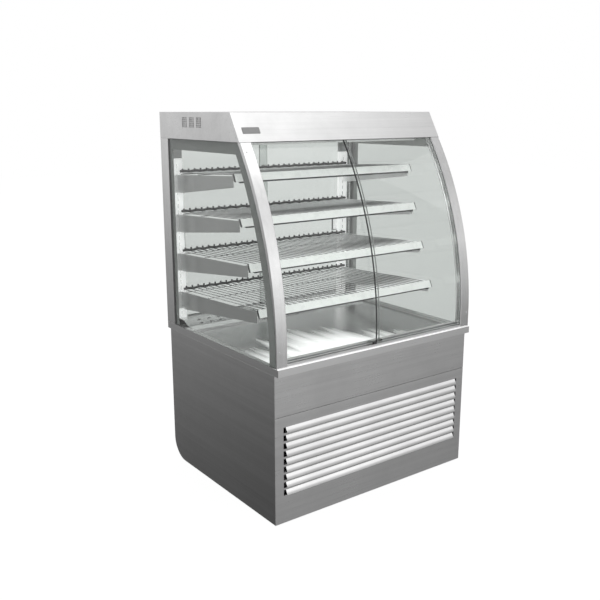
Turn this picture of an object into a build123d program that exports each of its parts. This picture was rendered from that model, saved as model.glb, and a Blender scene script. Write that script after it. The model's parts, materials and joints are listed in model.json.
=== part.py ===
from build123d import *
from math import cos, radians, sin, sqrt, tan
import os

# Curved glass refrigerated display case, in millimetres.
# X runs to the right seen from the front, Y to the back, Z up.
# The origin is on the floor, under the middle of the whole case.

# Overall sizes
overall_height = 1350.0
hood_height = 93.0
glass_top_z = overall_height - hood_height
base_width = 889.0
base_depth = 708.0
front_overhang = 21.0
rear_overhang = 22.0
side_x = base_width / 2
front_y = -(front_overhang + base_depth + rear_overhang) / 2 + front_overhang
back_y = front_y + base_depth
sheet = 2.0
fit_gap = 0.3

# Base cabinet
skirt_gap = 3.0
base_corner_radius = 80.0
panel_joint_z = 384.0
panel_joint_gap = 1.5
panel_fold = 12.0
foot_radius = 20.0
foot_stem_radius = 5.0
foot_stem_length = 26.0
foot_inset = 60.0
foot_nut_radius = 9.0
foot_nut_height = 6.0

# Vents in the rear sheet
rear_vent_rows = 7
rear_vent_z = 210.0
rear_vent_pitch = 22.0
rear_vent_height = 8.0
rear_vent_length = 320.0
rear_vent_x = -70.0

# Worktop rim and refrigerated well
rim_height = 25.0
rim_top_z = 555.0
rim_bottom_z = rim_top_z - rim_height
rim_inner_margin = 24.0
rim_inner_x = side_x - rim_inner_margin
rim_inner_front = 32.0
rim_inner_back_margin = 53.0
rim_inner_back = base_depth - rim_inner_back_margin
rim_slot_length = 300.0
rim_slot_width = 9.0
rim_slot_back_margin = 308.0
rim_slot_middle = base_depth - rim_slot_back_margin
deck_drop = 10.0
deck_z = rim_top_z - deck_drop
well_bottom_z = 402.0
well_wall = 28.0
well_ledge = 20.0
well_floor = 26.0

# Louvre panel
louvre_count = 9
louvre_pitch = 27.9
louvre_slot_height = 20.0
louvre_margin = 34.5
louvre_slot_half = side_x - louvre_margin
louvre_end_notch = 9.0
louvre_reach = 9.0
louvre_lip = 3.5
louvre_thickness = 1.2
louvre_top_z = 346.0

# Curved front
curve_radius = 1209.0
curve_start_z = 600.0
curve_face_offset = 13.6
curve_centre_y = front_y - curve_face_offset + curve_radius
end_frame_width = 40.0
end_frame_depth = 30.0
flange_top = 17.0
flange_bottom = 4.0
flange_width = 8.0

# Glass
side_glass_thickness = 6.0
door_glass_thickness = 5.0
outer_door_inset = 5.5
inner_door_inset = 19.5
border_thickness = 0.5
border_top = 39.0
border_front = 42.0
border_rear = 22.0
border_rear_margin = 11.0

# Front doors and tracks
door_overlap = 23.0
door_edge_gap = 3.0
door_clear = 1.0
track_floor = 3.0
track_front_rib = 11.0
track_middle_rib = 13.0
track_rear_rib = 20.0
door_ride_gap = 0.5
door_top_rise = 15.0
door_top_z = glass_top_z + door_top_rise
top_track_start_z = glass_top_z + 2.5
top_track_end_z = top_track_start_z + 15.5
top_track_web = 3.0
clip_length = 15.0
clip_height = 14.0

# Rear posts, doors and tracks
post_front_margin = 35.0
post_front = base_depth - post_front_margin
post_depth = 57.0
post_width = 22.0
rear_door_thickness = 5.0
rear_door_gap = 6.0
rear_track_front_margin = 5.0
rear_track_front = base_depth - rear_track_front_margin
rear_track_rib = 2.5
rear_overlap = 30.0
rear_door_bite = 10.0
rear_track_depth = 14.0
pull_width = 34.0
pull_height = 120.0
pull_rim = 4.0
pull_margin = 37.5

# Hood
hood_side_step = 3.0
hood_front_rise = glass_top_z - curve_start_z
hood_lean_share = 0.90195
hood_front_slope = hood_front_rise / sqrt(curve_radius ** 2 - hood_front_rise ** 2)
hood_front_lean = hood_lean_share * hood_front_slope * hood_height
hood_front_drop = curve_radius - sqrt(curve_radius ** 2 - hood_front_rise ** 2)
hood_front_margin = 0.5
hood_front_bottom = hood_front_drop - curve_face_offset + hood_front_margin
hood_front_top = hood_front_bottom + hood_front_lean
hood_back_margin = 16.4
hood_back = base_depth + hood_back_margin
hood_x = side_x + hood_side_step
vent_groups = 3
vent_slots = 4
vent_slot_width = 5.0
vent_slot_height = 34.0
vent_slot_pitch = 9.0
vent_group_pitch = 50.0
vent_back_margin = 237.4
vent_middle = hood_back - vent_back_margin
vent_drop = 35.0
vent_middle_z = overall_height - vent_drop
lamp_margin = 64.5
lamp_width = 2 * (side_x - lamp_margin)
lamp_depth = 24.0
lamp_height = 9.0
lamp_lens_height = 4.0
lamp_setback = 0.9
driver_margin = 60.0
driver_length = 160.0
driver_width = 60.0
driver_height = 34.0
lamp_front = hood_front_top + lamp_setback

# Shelves
shelf_shares = (0.2208, 0.4296, 0.6385, 0.8473)
shelf_tops = [rim_top_z + share * (glass_top_z - rim_top_z) for share in shelf_shares]
shelf_drops = [curve_radius - sqrt(curve_radius ** 2 - (z - curve_start_z) ** 2) for z in shelf_tops]
shelf_clearances = (162.6, 193.1, 198.4, 169.4)
shelf_fronts = [d - curve_face_offset + c for d, c in zip(shelf_drops, shelf_clearances)]
shelf_margin = 45.0
shelf_half = side_x - shelf_margin
wire = 4.0
bar_height = 7.6
bar_inset = 0.0
wire_pitch = 25.5
strip_height = 25.0
strip_lean = 12.0
strip_thickness = 2.5
strip_return = 18.0
strip_end_cap = 3.0
shelf_lamp_height = 6.0
shelf_lamp_depth = 13.0
shelf_lamp_inset = 20.0
connector_size = 8.0
connector_length = 10.0
bracket_plate = 2.0
bracket_rear_height = 66.0
bracket_front_height = 38.0
bracket_flange = 19.0
bracket_clip = 14.0
shelf_tilt = 2.9
shelf_seat_gap = 0.1
upright_width = 43.0
upright_outer = 24.5
upright_front_margin = 18.0
upright_front = base_depth - upright_front_margin
upright_depth = 12.0
upright_head_height = 75.0
upright_head_z = glass_top_z - upright_head_height
slot_width = 5.0
slot_height = 16.0
slot_pitch = 24.4333
slot_first_z = 582.0
hook_height = 12.0
hook_reach = 7.0

# Rear duct on the deck
duct_front_margin = 151.0
duct_front = base_depth - duct_front_margin
duct_step = 9.0
duct_shelf = 41.0
duct_rise = 18.0
duct_slope = 46.0
duct_back_margin = 28.0
duct_back = base_depth - duct_back_margin
duct_holes = 18
duct_hole_long = 12.0
duct_hole_wide = 6.0
duct_hole_pitch = 2 * (side_x - rim_inner_margin) / (duct_holes + 2.0)
deck_slot_y = 70.0
deck_slot_width = 6.0
deck_slot_long = 80.0

# Cold unit
evaporator_margin = 184.5
evaporator_width = 2 * (side_x - evaporator_margin)
evaporator_depth = 150.0
evaporator_height = 78.0
evaporator_front_margin = 378.0
evaporator_front = base_depth - evaporator_front_margin
fin_pitch = 30.0
condenser_fin_pitch = 22.0
fin_thickness = 1.0
tube_radius = 5.0
small_fan_radius = 42.0
small_fan_depth = 14.0
small_fan_frame = 96.0
small_fan_spread = 130.0
shaft_radius = 3.0
shaft_clearance = 0.05
fan_tip_gap = 3.0

# Condensing unit
condenser_width = 380.0
condenser_height = 250.0
condenser_depth = 60.0
condenser_front = 36.0
condenser_share = 0.27
condenser_x = -condenser_share * side_x
big_fan_radius = 96.0
big_fan_depth = 24.0
shroud_depth = 36.0
motor_radius = 34.0
motor_length = 60.0
compressor_radius = 75.0
compressor_height = 190.0
compressor_share = 0.5175
compressor_x = compressor_share * side_x
compressor_plate_x = 95.0
compressor_plate_y = 85.0
compressor_plate = 4.0
compressor_lift = 16.0
compressor_round = 26.0
compressor_seam_z = 92.0
compressor_seam = 6.0
compressor_seam_out = 4.0
compressor_foot = 11.0
compressor_foot_x = 70.0
compressor_foot_y = 60.0
compressor_ear_x = 84.0
compressor_ear_y = 70.0
drier_radius = 14.0
drier_start = 60.0
drier_length = 90.0
drier_round = 5.0
motor_gap = 6.0
motor_leg_half = 30.0
motor_leg = 4.0
motor_leg_start = 20.0
motor_foot_half = 40.0
motor_foot_start = 10.0
motor_foot_length = 40.0
motor_foot = 3.0
pan_y_margin = 278.0
pan_y = base_depth - pan_y_margin
pan_x = -330.0
pan_wall = 2.0
pan_round = 12.0
compressor_y_margin = 408.0
compressor_y = base_depth - compressor_y_margin
pan_length = 300.0
pan_width = 180.0
pan_height = 40.0
pipe_radius = 5.0

# Controls on the back
control_z = 462.0
control_margin = 194.5
control_x = side_x - control_margin
control_width = 78.0
control_height = 36.0
control_depth = 38.0
bezel_depth = 3.0
button_radius = 4.0
button_travel = 1.5
button_pitch = 14.0
switch_margin = 114.5
switch_x = side_x - switch_margin
switch_pitch = 34.0
rocker_width = 13.0
rocker_height = 22.0
rocker_depth = 12.0
rocker_pivot_depth = 5.0
gland_margin = 114.5
gland_x = gland_margin - side_x
gland_z = 120.0
gland_radius = 12.0
gland_bore = 5.0
gland_length = 18.0
gland_collar = 8.0
gland_step = 4.0


def ry(distance):
    """Y of a point that lies this far behind the base's front face."""
    return front_y + distance


def block(x0, x1, y0, y1, z0, z1):
    """A box from its lowest corner to its highest."""
    size = Box(x1 - x0, y1 - y0, z1 - z0, align=(Align.MIN, Align.MIN, Align.MIN))
    return Pos(x0, y0, z0) * size


def prism(edges, x0, x1):
    """A closed outline in the YZ plane, pushed from x0 to x1."""
    face = make_face(edges)
    return extrude(Plane.YZ.offset(x0) * face, amount=x1 - x0)


def polygon_prism(points, x0, x1):
    """A closed polygon in the YZ plane, pushed from x0 to x1."""
    return prism(Polyline(*points, close=True).edges(), x0, x1)


def rod_y(radius, x, z, y0, y1):
    """A round rod along Y."""
    return Plane.XZ.offset(-y0) * Pos(x, z, 0) * Cylinder(
        radius, y1 - y0, align=(Align.CENTER, Align.CENTER, Align.MAX))


def rod_z(radius, x, y, z0, z1):
    """A round rod along Z."""
    return Pos(x, y, z0) * Cylinder(radius, z1 - z0, align=(Align.CENTER, Align.CENTER, Align.MIN))


def facet_rod_z(radius, sides, x, y, z0, z1):
    """An upright prism with flat sides, such as a pad, a nut or a square-cut stem."""
    return Pos(x, y, z0) * extrude(RegularPolygon(radius, sides), z1 - z0)


def facet_rod_y(radius, sides, x, z, y0, y1):
    """A flat-sided prism along Y."""
    outline = Plane.XZ.offset(-y0) * Pos(x, z, 0) * RegularPolygon(radius, sides)
    return extrude(outline, y0 - y1)


def mirrored(solid):
    """The same piece on the other side of the case."""
    return mirror(solid, about=Plane.YZ)


def curve_y(inset, z):
    """Y on the front curve, this far inside its outer face, at a height."""
    radius = curve_radius - inset
    rise = max(z - curve_start_z, 0.0)
    return curve_centre_y - sqrt(radius * radius - rise * rise)


def curve_line(inset, z0, z1):
    """Edges of the front curve between two heights, from the lower to the upper."""
    edges = []
    start = max(z0, curve_start_z)
    if z0 < curve_start_z:
        edges.append(Line((curve_y(inset, z0), z0), (curve_y(inset, start), start)))
    middle = (start + z1) / 2
    edges.append(ThreePointArc(
        (curve_y(inset, start), start),
        (curve_y(inset, middle), middle),
        (curve_y(inset, z1), z1)))
    return edges


def curved_plate(inset, thickness, z0, z1, x0, x1):
    """A curved sheet that follows the front, from one height to another."""
    outer = curve_line(inset, z0, z1)
    inner = curve_line(inset + thickness, z0, z1)
    top = Line((curve_y(inset, z1), z1), (curve_y(inset + thickness, z1), z1))
    bottom = Line((curve_y(inset, z0), z0), (curve_y(inset + thickness, z0), z0))
    return prism(outer + inner + [top, bottom], x0, x1)


def flange_edge(gap):
    """The curved line where the frame's side flange ends and the side glass begins."""
    low = (curve_y(0, rim_top_z) + flange_bottom + gap, rim_top_z)
    start = (low[0], curve_start_z)
    middle_z = (curve_start_z + glass_top_z) / 2
    middle_flange = flange_bottom + (flange_top - flange_bottom) * 0.75
    middle = (curve_y(0, middle_z) + middle_flange + gap, middle_z)
    top = (curve_y(0, glass_top_z) + flange_top + gap, glass_top_z)
    return [Line(low, start), ThreePointArc(start, middle, top)], low, top


def base_outline(inset):
    """Side view of the base: flat front, top and back, with a round rear corner."""
    y0 = front_y + sheet
    y1 = back_y - inset
    z0 = skirt_gap + inset
    radius = base_corner_radius - inset
    corner = (y1 - radius, z0 + radius)
    bend = (corner[0] + radius * sin(radians(45)), corner[1] - radius * cos(radians(45)))
    return [
        Line((y0, z0), (corner[0], z0)),
        ThreePointArc((corner[0], z0), bend, (y1, corner[1])),
        Line((y1, corner[1]), (y1, rim_bottom_z)),
        Line((y1, rim_bottom_z), (y0, rim_bottom_z)),
        Line((y0, rim_bottom_z), (y0, z0)),
    ]


def base_side_left():
    """Plain side sheet of the base, with a folded edge along its front."""
    plate = prism(base_outline(0), -side_x, -side_x + sheet)
    fold = block(-side_x + sheet, -side_x + sheet + panel_fold,
                 front_y + sheet, front_y + 2 * sheet, 60.0, panel_joint_z - 40.0)
    return plate + fold


def base_back():
    """Rear sheet that rolls under the base, with vents and cut-outs for the controls."""
    inner_x = side_x - sheet
    shell = prism(base_outline(0), -inner_x, inner_x) - prism(base_outline(sheet), -inner_x, inner_x)
    corner_y = back_y - base_corner_radius
    shell -= block(-inner_x, inner_x, front_y, corner_y, 0, rim_bottom_z)
    shell -= block(-inner_x, inner_x, front_y, back_y - sheet, rim_bottom_z - sheet, rim_bottom_z)
    vent_half = rear_vent_length / 2
    for row in range(rear_vent_rows):
        z = rear_vent_z + row * rear_vent_pitch
        shell -= block(rear_vent_x - vent_half, rear_vent_x + vent_half, back_y - 3 * sheet,
                       back_y + sheet, z, z + rear_vent_height)
    shell -= control_hole()
    for index in range(2):
        shell -= switch_hole(index)
    outline = RegularPolygon(gland_radius - gland_step + fit_gap, 6)
    hole = extrude(Plane.XZ.offset(-back_y - sheet) * Pos(gland_x, gland_z, 0) * outline, 4 * sheet)
    shell -= hole
    return shell


def base_floor():
    """Flat floor pan that the cold unit is bolted to, with a hole for each foot."""
    inner_x = side_x - sheet
    pan = block(-inner_x, inner_x, front_y + sheet, back_y - base_corner_radius,
                skirt_gap, skirt_gap + sheet)
    for x, y in foot_places():
        pan -= facet_rod_z(foot_stem_radius + fit_gap, 8, x, y, 0, 2 * skirt_gap + sheet)
    return pan


def foot_places():
    """The four feet, in from the corners of the floor pan."""
    x = side_x - foot_inset
    y0 = front_y + foot_inset
    y1 = back_y - base_corner_radius - foot_inset / 2
    return [(-x, y0), (x, y0), (-x, y1), (x, y1)]


def levelling_feet():
    """Four screw feet: a pad under the pan, a stem through it and a lock nut on top."""
    feet = []
    for x, y in foot_places():
        pad = facet_rod_z(foot_radius, 20, x, y, 0, skirt_gap)
        stem = facet_rod_z(foot_stem_radius, 8, x, y, skirt_gap, skirt_gap + foot_stem_length)
        nut_z = skirt_gap + sheet
        nut = facet_rod_z(foot_nut_radius, 6, x, y, nut_z, nut_z + foot_nut_height)
        feet.append(pad + stem + nut)
    return Compound(children=feet)


def front_upper_panel():
    """Plain front sheet above the louvres, folded back along its top and bottom."""
    z0 = panel_joint_z + panel_joint_gap / 2
    z1 = rim_bottom_z - fit_gap
    panel = block(-side_x, side_x, front_y, front_y + sheet, z0, z1)
    fold_x = side_x - sheet - fit_gap
    for z in (z0, z1 - sheet):
        panel += block(-fold_x, fold_x, front_y + sheet, front_y + sheet + panel_fold, z, z + sheet)
    return panel


def louvre_blade(z_top):
    """One blade: it leaves the top of its slot, slopes out and ends in a short lip."""
    drop = louvre_slot_height - louvre_lip
    t = louvre_thickness
    y0 = front_y
    y1 = front_y - louvre_reach
    outline = [
        (y0 + sheet, z_top), (y0, z_top), (y1, z_top - drop), (y1, z_top - drop - louvre_lip),
        (y1 + t, z_top - drop - louvre_lip), (y1 + t, z_top - drop - t * 0.2),
        (y0 + t * 0.6, z_top - t * 1.8), (y0 + sheet, z_top - t * 1.8),
    ]
    half = louvre_slot_half - louvre_end_notch
    return polygon_prism(outline, -half, half)


def louvre_panel():
    """Front air grille: a folded sheet with rows of slots, each with its own pressed blade."""
    z1 = panel_joint_z - panel_joint_gap / 2
    panel = block(-side_x, side_x, front_y, front_y + sheet, skirt_gap, z1)
    fold_x = side_x - sheet - panel_fold - fit_gap
    panel += block(-fold_x, fold_x, front_y + sheet, front_y + sheet + panel_fold, z1 - sheet, z1)
    for row in range(louvre_count):
        z_top = louvre_top_z - row * louvre_pitch
        panel -= block(-louvre_slot_half, louvre_slot_half, front_y - sheet, front_y + 2 * sheet,
                       z_top - louvre_slot_height, z_top)
        panel += louvre_blade(z_top)
    return panel


def worktop_rim():
    """Folded ring round the well: a flat top, a deep front lip and skirts on every side."""
    y0 = front_y - front_overhang
    y1 = back_y + rear_overhang
    ring = block(-side_x, side_x, y0, y1, rim_bottom_z, rim_top_z)
    ring -= block(-side_x + sheet, side_x - sheet, y0 + sheet, y1 - sheet,
                  rim_bottom_z, rim_top_z - sheet)
    ring -= block(-rim_inner_x, rim_inner_x, ry(rim_inner_front), ry(rim_inner_back),
                  rim_bottom_z, rim_top_z + sheet)
    half = side_x - sheet
    ring += block(-half, half, y0 + sheet, front_y, rim_bottom_z, rim_bottom_z + sheet)
    ring += block(-half, half, back_y, y1 - sheet, rim_bottom_z, rim_bottom_z + sheet)
    slot_y = ry(rim_slot_middle)
    for x in (rim_inner_x + 9.0, -rim_inner_x - 9.0):
        ring -= block(x - rim_slot_width / 2, x + rim_slot_width / 2, slot_y - rim_slot_length / 2,
                      slot_y + rim_slot_length / 2, rim_top_z - 2 * sheet, rim_top_z + sheet)
    return ring


def insulated_well():
    """Foam-filled cold well under the deck, with a step that carries the deck."""
    top = rim_top_z - sheet
    outer_x = rim_inner_x + 12.0
    y0 = ry(rim_inner_front) - 14.0
    y1 = ry(rim_inner_back) + 5.0
    well = block(-outer_x, outer_x, y0, y1, well_bottom_z, top)
    well -= block(-rim_inner_x, rim_inner_x, ry(rim_inner_front), ry(rim_inner_back),
                  deck_z - sheet, top + sheet)
    inner_x = rim_inner_x - well_ledge
    well -= block(-inner_x, inner_x, ry(rim_inner_front) + well_ledge,
                  ry(rim_inner_back) - well_ledge, well_bottom_z + well_floor, top)
    return well


def deck_floor():
    """Stainless floor of the display space, lying on the step of the well."""
    gap = 0.5
    floor = block(-rim_inner_x + gap, rim_inner_x - gap, ry(rim_inner_front) + gap,
                  ry(rim_inner_back) - gap, deck_z - sheet, deck_z)
    half = deck_slot_long / 2
    for step in (-2, -1, 0, 1, 2):
        x = step * 0.3 * rim_inner_x
        floor -= block(x - half, x + half, ry(deck_slot_y), ry(deck_slot_y + deck_slot_width),
                       deck_z - 2 * sheet, deck_z + sheet)
    return floor


def duct_points(inset):
    """Side view of the rear duct: a low step, a flat, a slope and a flat top."""
    base_front = deck_z
    y0 = ry(duct_front) + inset
    y1 = ry(duct_front) + duct_shelf
    y2 = y1 + duct_slope
    y3 = ry(duct_back) - inset
    z1 = deck_z + duct_step
    z2 = z1 + 2.0
    z3 = z2 + duct_rise
    return [
        (y0, base_front), (y0, z1 - inset), (y1 + inset * 0.2, z2 - inset),
        (y2 + inset * 0.2, z3 - inset), (y3, z3 - inset), (y3, rim_top_z),
        (ry(rim_inner_back) - 1.0, rim_top_z), (ry(rim_inner_back) - 1.0, base_front),
    ]


def rear_duct_cover():
    """Perforated cover that lets the cold air out along the back of the deck."""
    half = rim_inner_x - 1.5
    cover = polygon_prism(duct_points(0), -half, half)
    cover -= polygon_prism(duct_points(1.5), -half - 1, half + 1)
    back = ry(rim_inner_back) - 1.0
    cover -= block(-half - 1, half + 1, back - 1.5, back + 1.5, deck_z - 1, rim_top_z + 0.01)
    start = -(duct_holes - 1) / 2 * duct_hole_pitch
    row_step = 20.0
    y_row = ry(duct_front) + duct_shelf + 10.0
    for row in range(2):
        for index in range(duct_holes):
            x = start + index * duct_hole_pitch
            y = y_row + row * row_step
            cover -= block(x - duct_hole_long / 2, x + duct_hole_long / 2, y, y + duct_hole_wide,
                           deck_z + 4.0, deck_z + 60.0)
    return cover


def end_frame_left():
    """Curved stainless channel between the side glass and the front doors."""
    x0 = -side_x
    x1 = x0 + end_frame_width
    z0 = rim_top_z
    z1 = glass_top_z
    body = curved_plate(0, end_frame_depth, z0, z1, x0 + flange_width, x1)
    hollow = curved_plate(sheet, end_frame_depth, z0 - 1, z1 + 1,
                          x0 + flange_width + sheet, x1 - sheet)
    body -= hollow
    inner, low, top = flange_edge(0)
    outer = curve_line(0, z0, z1)
    ends = [Line((curve_y(0, z0), z0), low), Line((curve_y(0, z1), z1), top)]
    return body + prism(outer + inner + ends, x0, x0 + flange_width)


def side_glass_outline(rear):
    """Outline of the side glass: curved front edge, straight back, top and bottom."""
    curve, low, top = flange_edge(0.5)
    back = ry(rear)
    return curve + [
        Line(top, (back, glass_top_z)),
        Line((back, glass_top_z), (back, rim_top_z)),
        Line((back, rim_top_z), low),
    ]


def side_glass_left():
    """Flat side pane, flush with the end frame and the rear post."""
    x0 = -side_x + 0.6
    return prism(side_glass_outline(post_front - fit_gap), x0, x0 + side_glass_thickness)


def side_border_left():
    """Dark enamel border on the inner face of the side pane: top, front curve and rear."""
    x0 = -side_x + 0.6 + side_glass_thickness
    x1 = x0 + border_thickness
    rear = post_front - border_rear_margin
    plate = prism(side_glass_outline(rear), x0, x1)
    start_y = curve_y(0, rim_top_z) + flange_bottom + border_front
    middle_z = (curve_start_z + glass_top_z) / 2
    top_z = glass_top_z - border_top
    window = [
        Line((start_y, rim_top_z - 1), (start_y, curve_start_z)),
        ThreePointArc(
            (start_y, curve_start_z),
            (curve_y(0, middle_z) + 14.0 + border_front, middle_z),
            (curve_y(0, top_z) + flange_top + border_front - 2.0, top_z)),
        Line((curve_y(0, top_z) + flange_top + border_front - 2.0, top_z),
             (ry(rear - border_rear), top_z)),
        Line((ry(rear - border_rear), top_z), (ry(rear - border_rear), rim_top_z - 1)),
        Line((ry(rear - border_rear), rim_top_z - 1), (start_y, rim_top_z - 1)),
    ]
    return plate - prism(window, x0 - 1, x1 + 1)


def rear_post_left():
    """Rear corner channel, open towards the rear doors."""
    x0 = -side_x
    x1 = x0 + post_width
    y0 = ry(post_front)
    y1 = y0 + post_depth
    post = block(x0, x1, y0, y1, rim_top_z, glass_top_z)
    post -= block(x0 + sheet, x1 + 1, y0 + sheet, y1 - sheet, rim_top_z - 1, glass_top_z + 1)
    return post


def upright_left():
    """Slotted channel that the shelf brackets hook into."""
    x0 = -side_x + upright_outer
    x1 = x0 + upright_width
    y0 = ry(upright_front)
    y1 = y0 + upright_depth
    channel = block(x0, x1, y0, y1, rim_top_z, upright_head_z)
    channel -= block(x0 + sheet, x1 - sheet, y0 + sheet, y1 + 1, rim_top_z - 1, upright_head_z + 1)
    middle = bracket_x()
    z = slot_first_z
    while z + slot_height < upright_head_z - 8.0:
        channel -= block(middle - slot_width / 2, middle + slot_width / 2, y0 - 1, y0 + sheet + 1,
                         z, z + slot_height)
        z += slot_pitch
    return channel


def upright_head_left():
    """Grey block that fixes the top of the slotted channel under the hood."""
    x0 = -side_x + upright_outer
    y0 = ry(upright_front)
    head = block(x0, x0 + upright_width, y0, y0 + upright_depth, upright_head_z, glass_top_z)
    hollow = block(x0 + 3.0, x0 + upright_width - 3.0, y0 + 3.0, y0 + upright_depth + 1,
                   upright_head_z + 4.0, glass_top_z - 4.0)
    return head - hollow


def bracket_x():
    """Middle of the left slotted channel, where the bracket plates stand."""
    return -side_x + upright_outer + upright_width / 2


def hood_outline(inset):
    """Side view of the hood: sloping front, flat top and straight back."""
    slope = (hood_front_top - hood_front_bottom) / (overall_height - glass_top_z)
    shift = inset * sqrt(1 + slope * slope)
    top = overall_height - inset
    bottom = glass_top_z - (0 if inset == 0 else 1)
    return [
        (ry(hood_front_bottom + slope * (bottom - glass_top_z)) + shift, bottom),
        (ry(hood_front_bottom + slope * (top - glass_top_z)) + shift, top),
        (ry(hood_back) - inset, top),
        (ry(hood_back) - inset, bottom),
    ]


def hood_shell():
    """Stainless hood: sloping front, flat top, closed ends with three groups of vents."""
    hood = polygon_prism(hood_outline(0), -hood_x, hood_x)
    hood -= polygon_prism(hood_outline(sheet), -hood_x + sheet, hood_x - sheet)
    for group in range(vent_groups):
        centre = ry(vent_middle) + (group - (vent_groups - 1) / 2) * vent_group_pitch
        for slot in range(vent_slots):
            y = centre + (slot - (vent_slots - 1) / 2) * vent_slot_pitch
            hood -= block(-hood_x - 1, hood_x + 1, y - vent_slot_width / 2,
                          y + vent_slot_width / 2, vent_middle_z - vent_slot_height / 2,
                          vent_middle_z + vent_slot_height / 2)
    return hood


def hood_underside():
    """Plate that closes the hood from below and ties the frames and posts together."""
    outer_x = hood_x - sheet - fit_gap
    z1 = glass_top_z + sheet
    y0 = ry(hood_front_bottom) + sheet / cos(radians(30)) + sheet + fit_gap
    y1 = ry(hood_back) - sheet - fit_gap
    plate = block(-outer_x, outer_x, y0, y1, glass_top_z, z1)
    inner_x = side_x - end_frame_width
    y_track = curve_y(inner_door_inset + door_glass_thickness + 4.0, z1) + 1.0
    plate -= block(-inner_x, inner_x, y0 - 1, y_track, glass_top_z - 1, z1 + 1)
    return plate


def front_track_bottom():
    """Twin floor track of the front doors, with a taller rib along the deck."""
    half = side_x - end_frame_width - fit_gap
    y_face = front_y - curve_face_offset
    floor_z = rim_top_z + track_floor
    y_end = y_face + inner_door_inset + door_glass_thickness + 9.0
    track = block(-half, half, y_face, y_end, rim_top_z, floor_z)
    c = 2.0
    ribs = [
        (y_face, y_face + outer_door_inset - c, track_front_rib),
        (y_face + outer_door_inset + door_glass_thickness + c,
         y_face + inner_door_inset - c, track_middle_rib),
        (y_face + inner_door_inset + door_glass_thickness + c, y_end, track_rear_rib),
    ]
    for y0, y1, height in ribs:
        track += block(-half, half, y0, y1, floor_z, rim_top_z + height)
    return track


def front_track_top():
    """Twin head track inside the hood, curved with the glass that runs in it."""
    half = side_x - end_frame_width - fit_gap
    z0 = top_track_start_z
    z1 = top_track_end_z
    c = door_clear
    outer = outer_door_inset
    inner = inner_door_inset
    t = door_glass_thickness
    front_wall = 2.0
    track = curved_plate(outer - c - front_wall, front_wall, z0, z1, -half, half)
    track += curved_plate(outer + t + c, inner - outer - t - 2 * c, z0, z1, -half, half)
    track += curved_plate(inner + t + c, 3.0, z0, z1, -half, half)
    track += curved_plate(outer - c - front_wall, inner - outer + t + 2 * c + 3.0 + front_wall,
                          z1, z1 + top_track_web, -half, half)
    return track


def door_span():
    """X where the left front door ends and where the right one begins, when shut."""
    middle = -5.0
    return middle + door_overlap / 2, middle - door_overlap / 2


def front_door_left():
    """Curved glass door in the inner track."""
    x0 = -side_x + end_frame_width + door_edge_gap
    x1, _ = door_span()
    return curved_plate(inner_door_inset, door_glass_thickness,
                        rim_top_z + track_floor + door_ride_gap, door_top_z, x0, x1)


def front_door_right():
    """Curved glass door in the outer track."""
    _, x0 = door_span()
    x1 = side_x - end_frame_width - door_edge_gap
    return curved_plate(outer_door_inset, door_glass_thickness,
                        rim_top_z + track_floor + door_ride_gap, door_top_z, x0, x1)


def door_clip(inset, x0, x1):
    """Small black stop that caps the bottom corner of a curved door."""
    y0 = front_y - curve_face_offset + inset
    z0 = rim_top_z + track_floor + door_ride_gap
    return block(x0, x1, y0, y0 + door_glass_thickness, z0, z0 + clip_height)


def front_door_clip_left():
    """Stop on the meeting edge of the left front door."""
    x1, _ = door_span()
    return door_clip(inner_door_inset, x1, x1 + clip_length)


def front_door_clip_right():
    """Stop on the meeting edge of the right front door."""
    _, x0 = door_span()
    return door_clip(outer_door_inset, x0 - clip_length, x0)


def rear_pane_y(index):
    """Front face of a rear door: the left door is the inner one."""
    return ry(rear_track_front) + rear_track_rib + 2.0 + index * (rear_door_thickness + rear_door_gap)


def rear_track_end():
    """Back face of the rear tracks."""
    return rear_pane_y(1) + rear_door_thickness + 2.0 + rear_track_rib


def rear_track(z_base, z_web, z_rib):
    """Twin straight track: a web with three ribs on it."""
    half = side_x - post_width - fit_gap
    y0 = ry(rear_track_front)
    y1 = rear_track_end()
    track = block(-half, half, y0, y1, min(z_base, z_web), max(z_base, z_web))
    middle0 = rear_pane_y(0) + rear_door_thickness + 2.0
    middle1 = rear_pane_y(1) - 2.0
    low = min(z_base, z_rib)
    high = max(z_base, z_rib)
    for a, b in ((y0, y0 + rear_track_rib), (middle0, middle1), (y1 - rear_track_rib, y1)):
        track += block(-half, half, a, b, low, high)
    return track


def rear_track_bottom():
    """Floor track of the rear doors."""
    return rear_track(rim_top_z, rim_top_z + track_floor, rim_top_z + rear_track_depth)


def rear_track_top():
    """Head track of the rear doors, under the hood."""
    return rear_track(glass_top_z, glass_top_z - track_floor, glass_top_z - 1.4 * rear_track_depth)


def rear_door(index):
    """Flat glass sliding door at the back."""
    outer = side_x - post_width + rear_door_bite
    meet = rear_overlap / 2
    x0, x1 = (-outer, meet) if index == 0 else (-meet, outer)
    y0 = rear_pane_y(index)
    z0 = rim_top_z + track_floor + door_ride_gap
    z1 = glass_top_z - track_floor - 2 * door_ride_gap
    pane = block(x0, x1, y0, y0 + rear_door_thickness, z0, z1)
    return pane - rear_pull_hole(index)


def pull_place(index):
    """X and Z of the finger pull of a rear door."""
    x = side_x - post_width - pull_margin
    return (-x if index == 0 else x), (rim_top_z + glass_top_z) / 2


def pull_block(index, grow, y0, y1):
    """A block round the middle of a finger pull, this much larger than its cup."""
    x, z = pull_place(index)
    half = pull_width / 2 + grow
    tall = pull_height / 2 + grow
    return block(x - half, x + half, y0, y1, z - tall, z + tall)


def rear_pull_hole(index):
    """Hole in the pane for its finger pull."""
    y0 = rear_pane_y(index)
    return pull_block(index, 0.1, y0 - 1, y0 + rear_door_thickness + 1)


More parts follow.
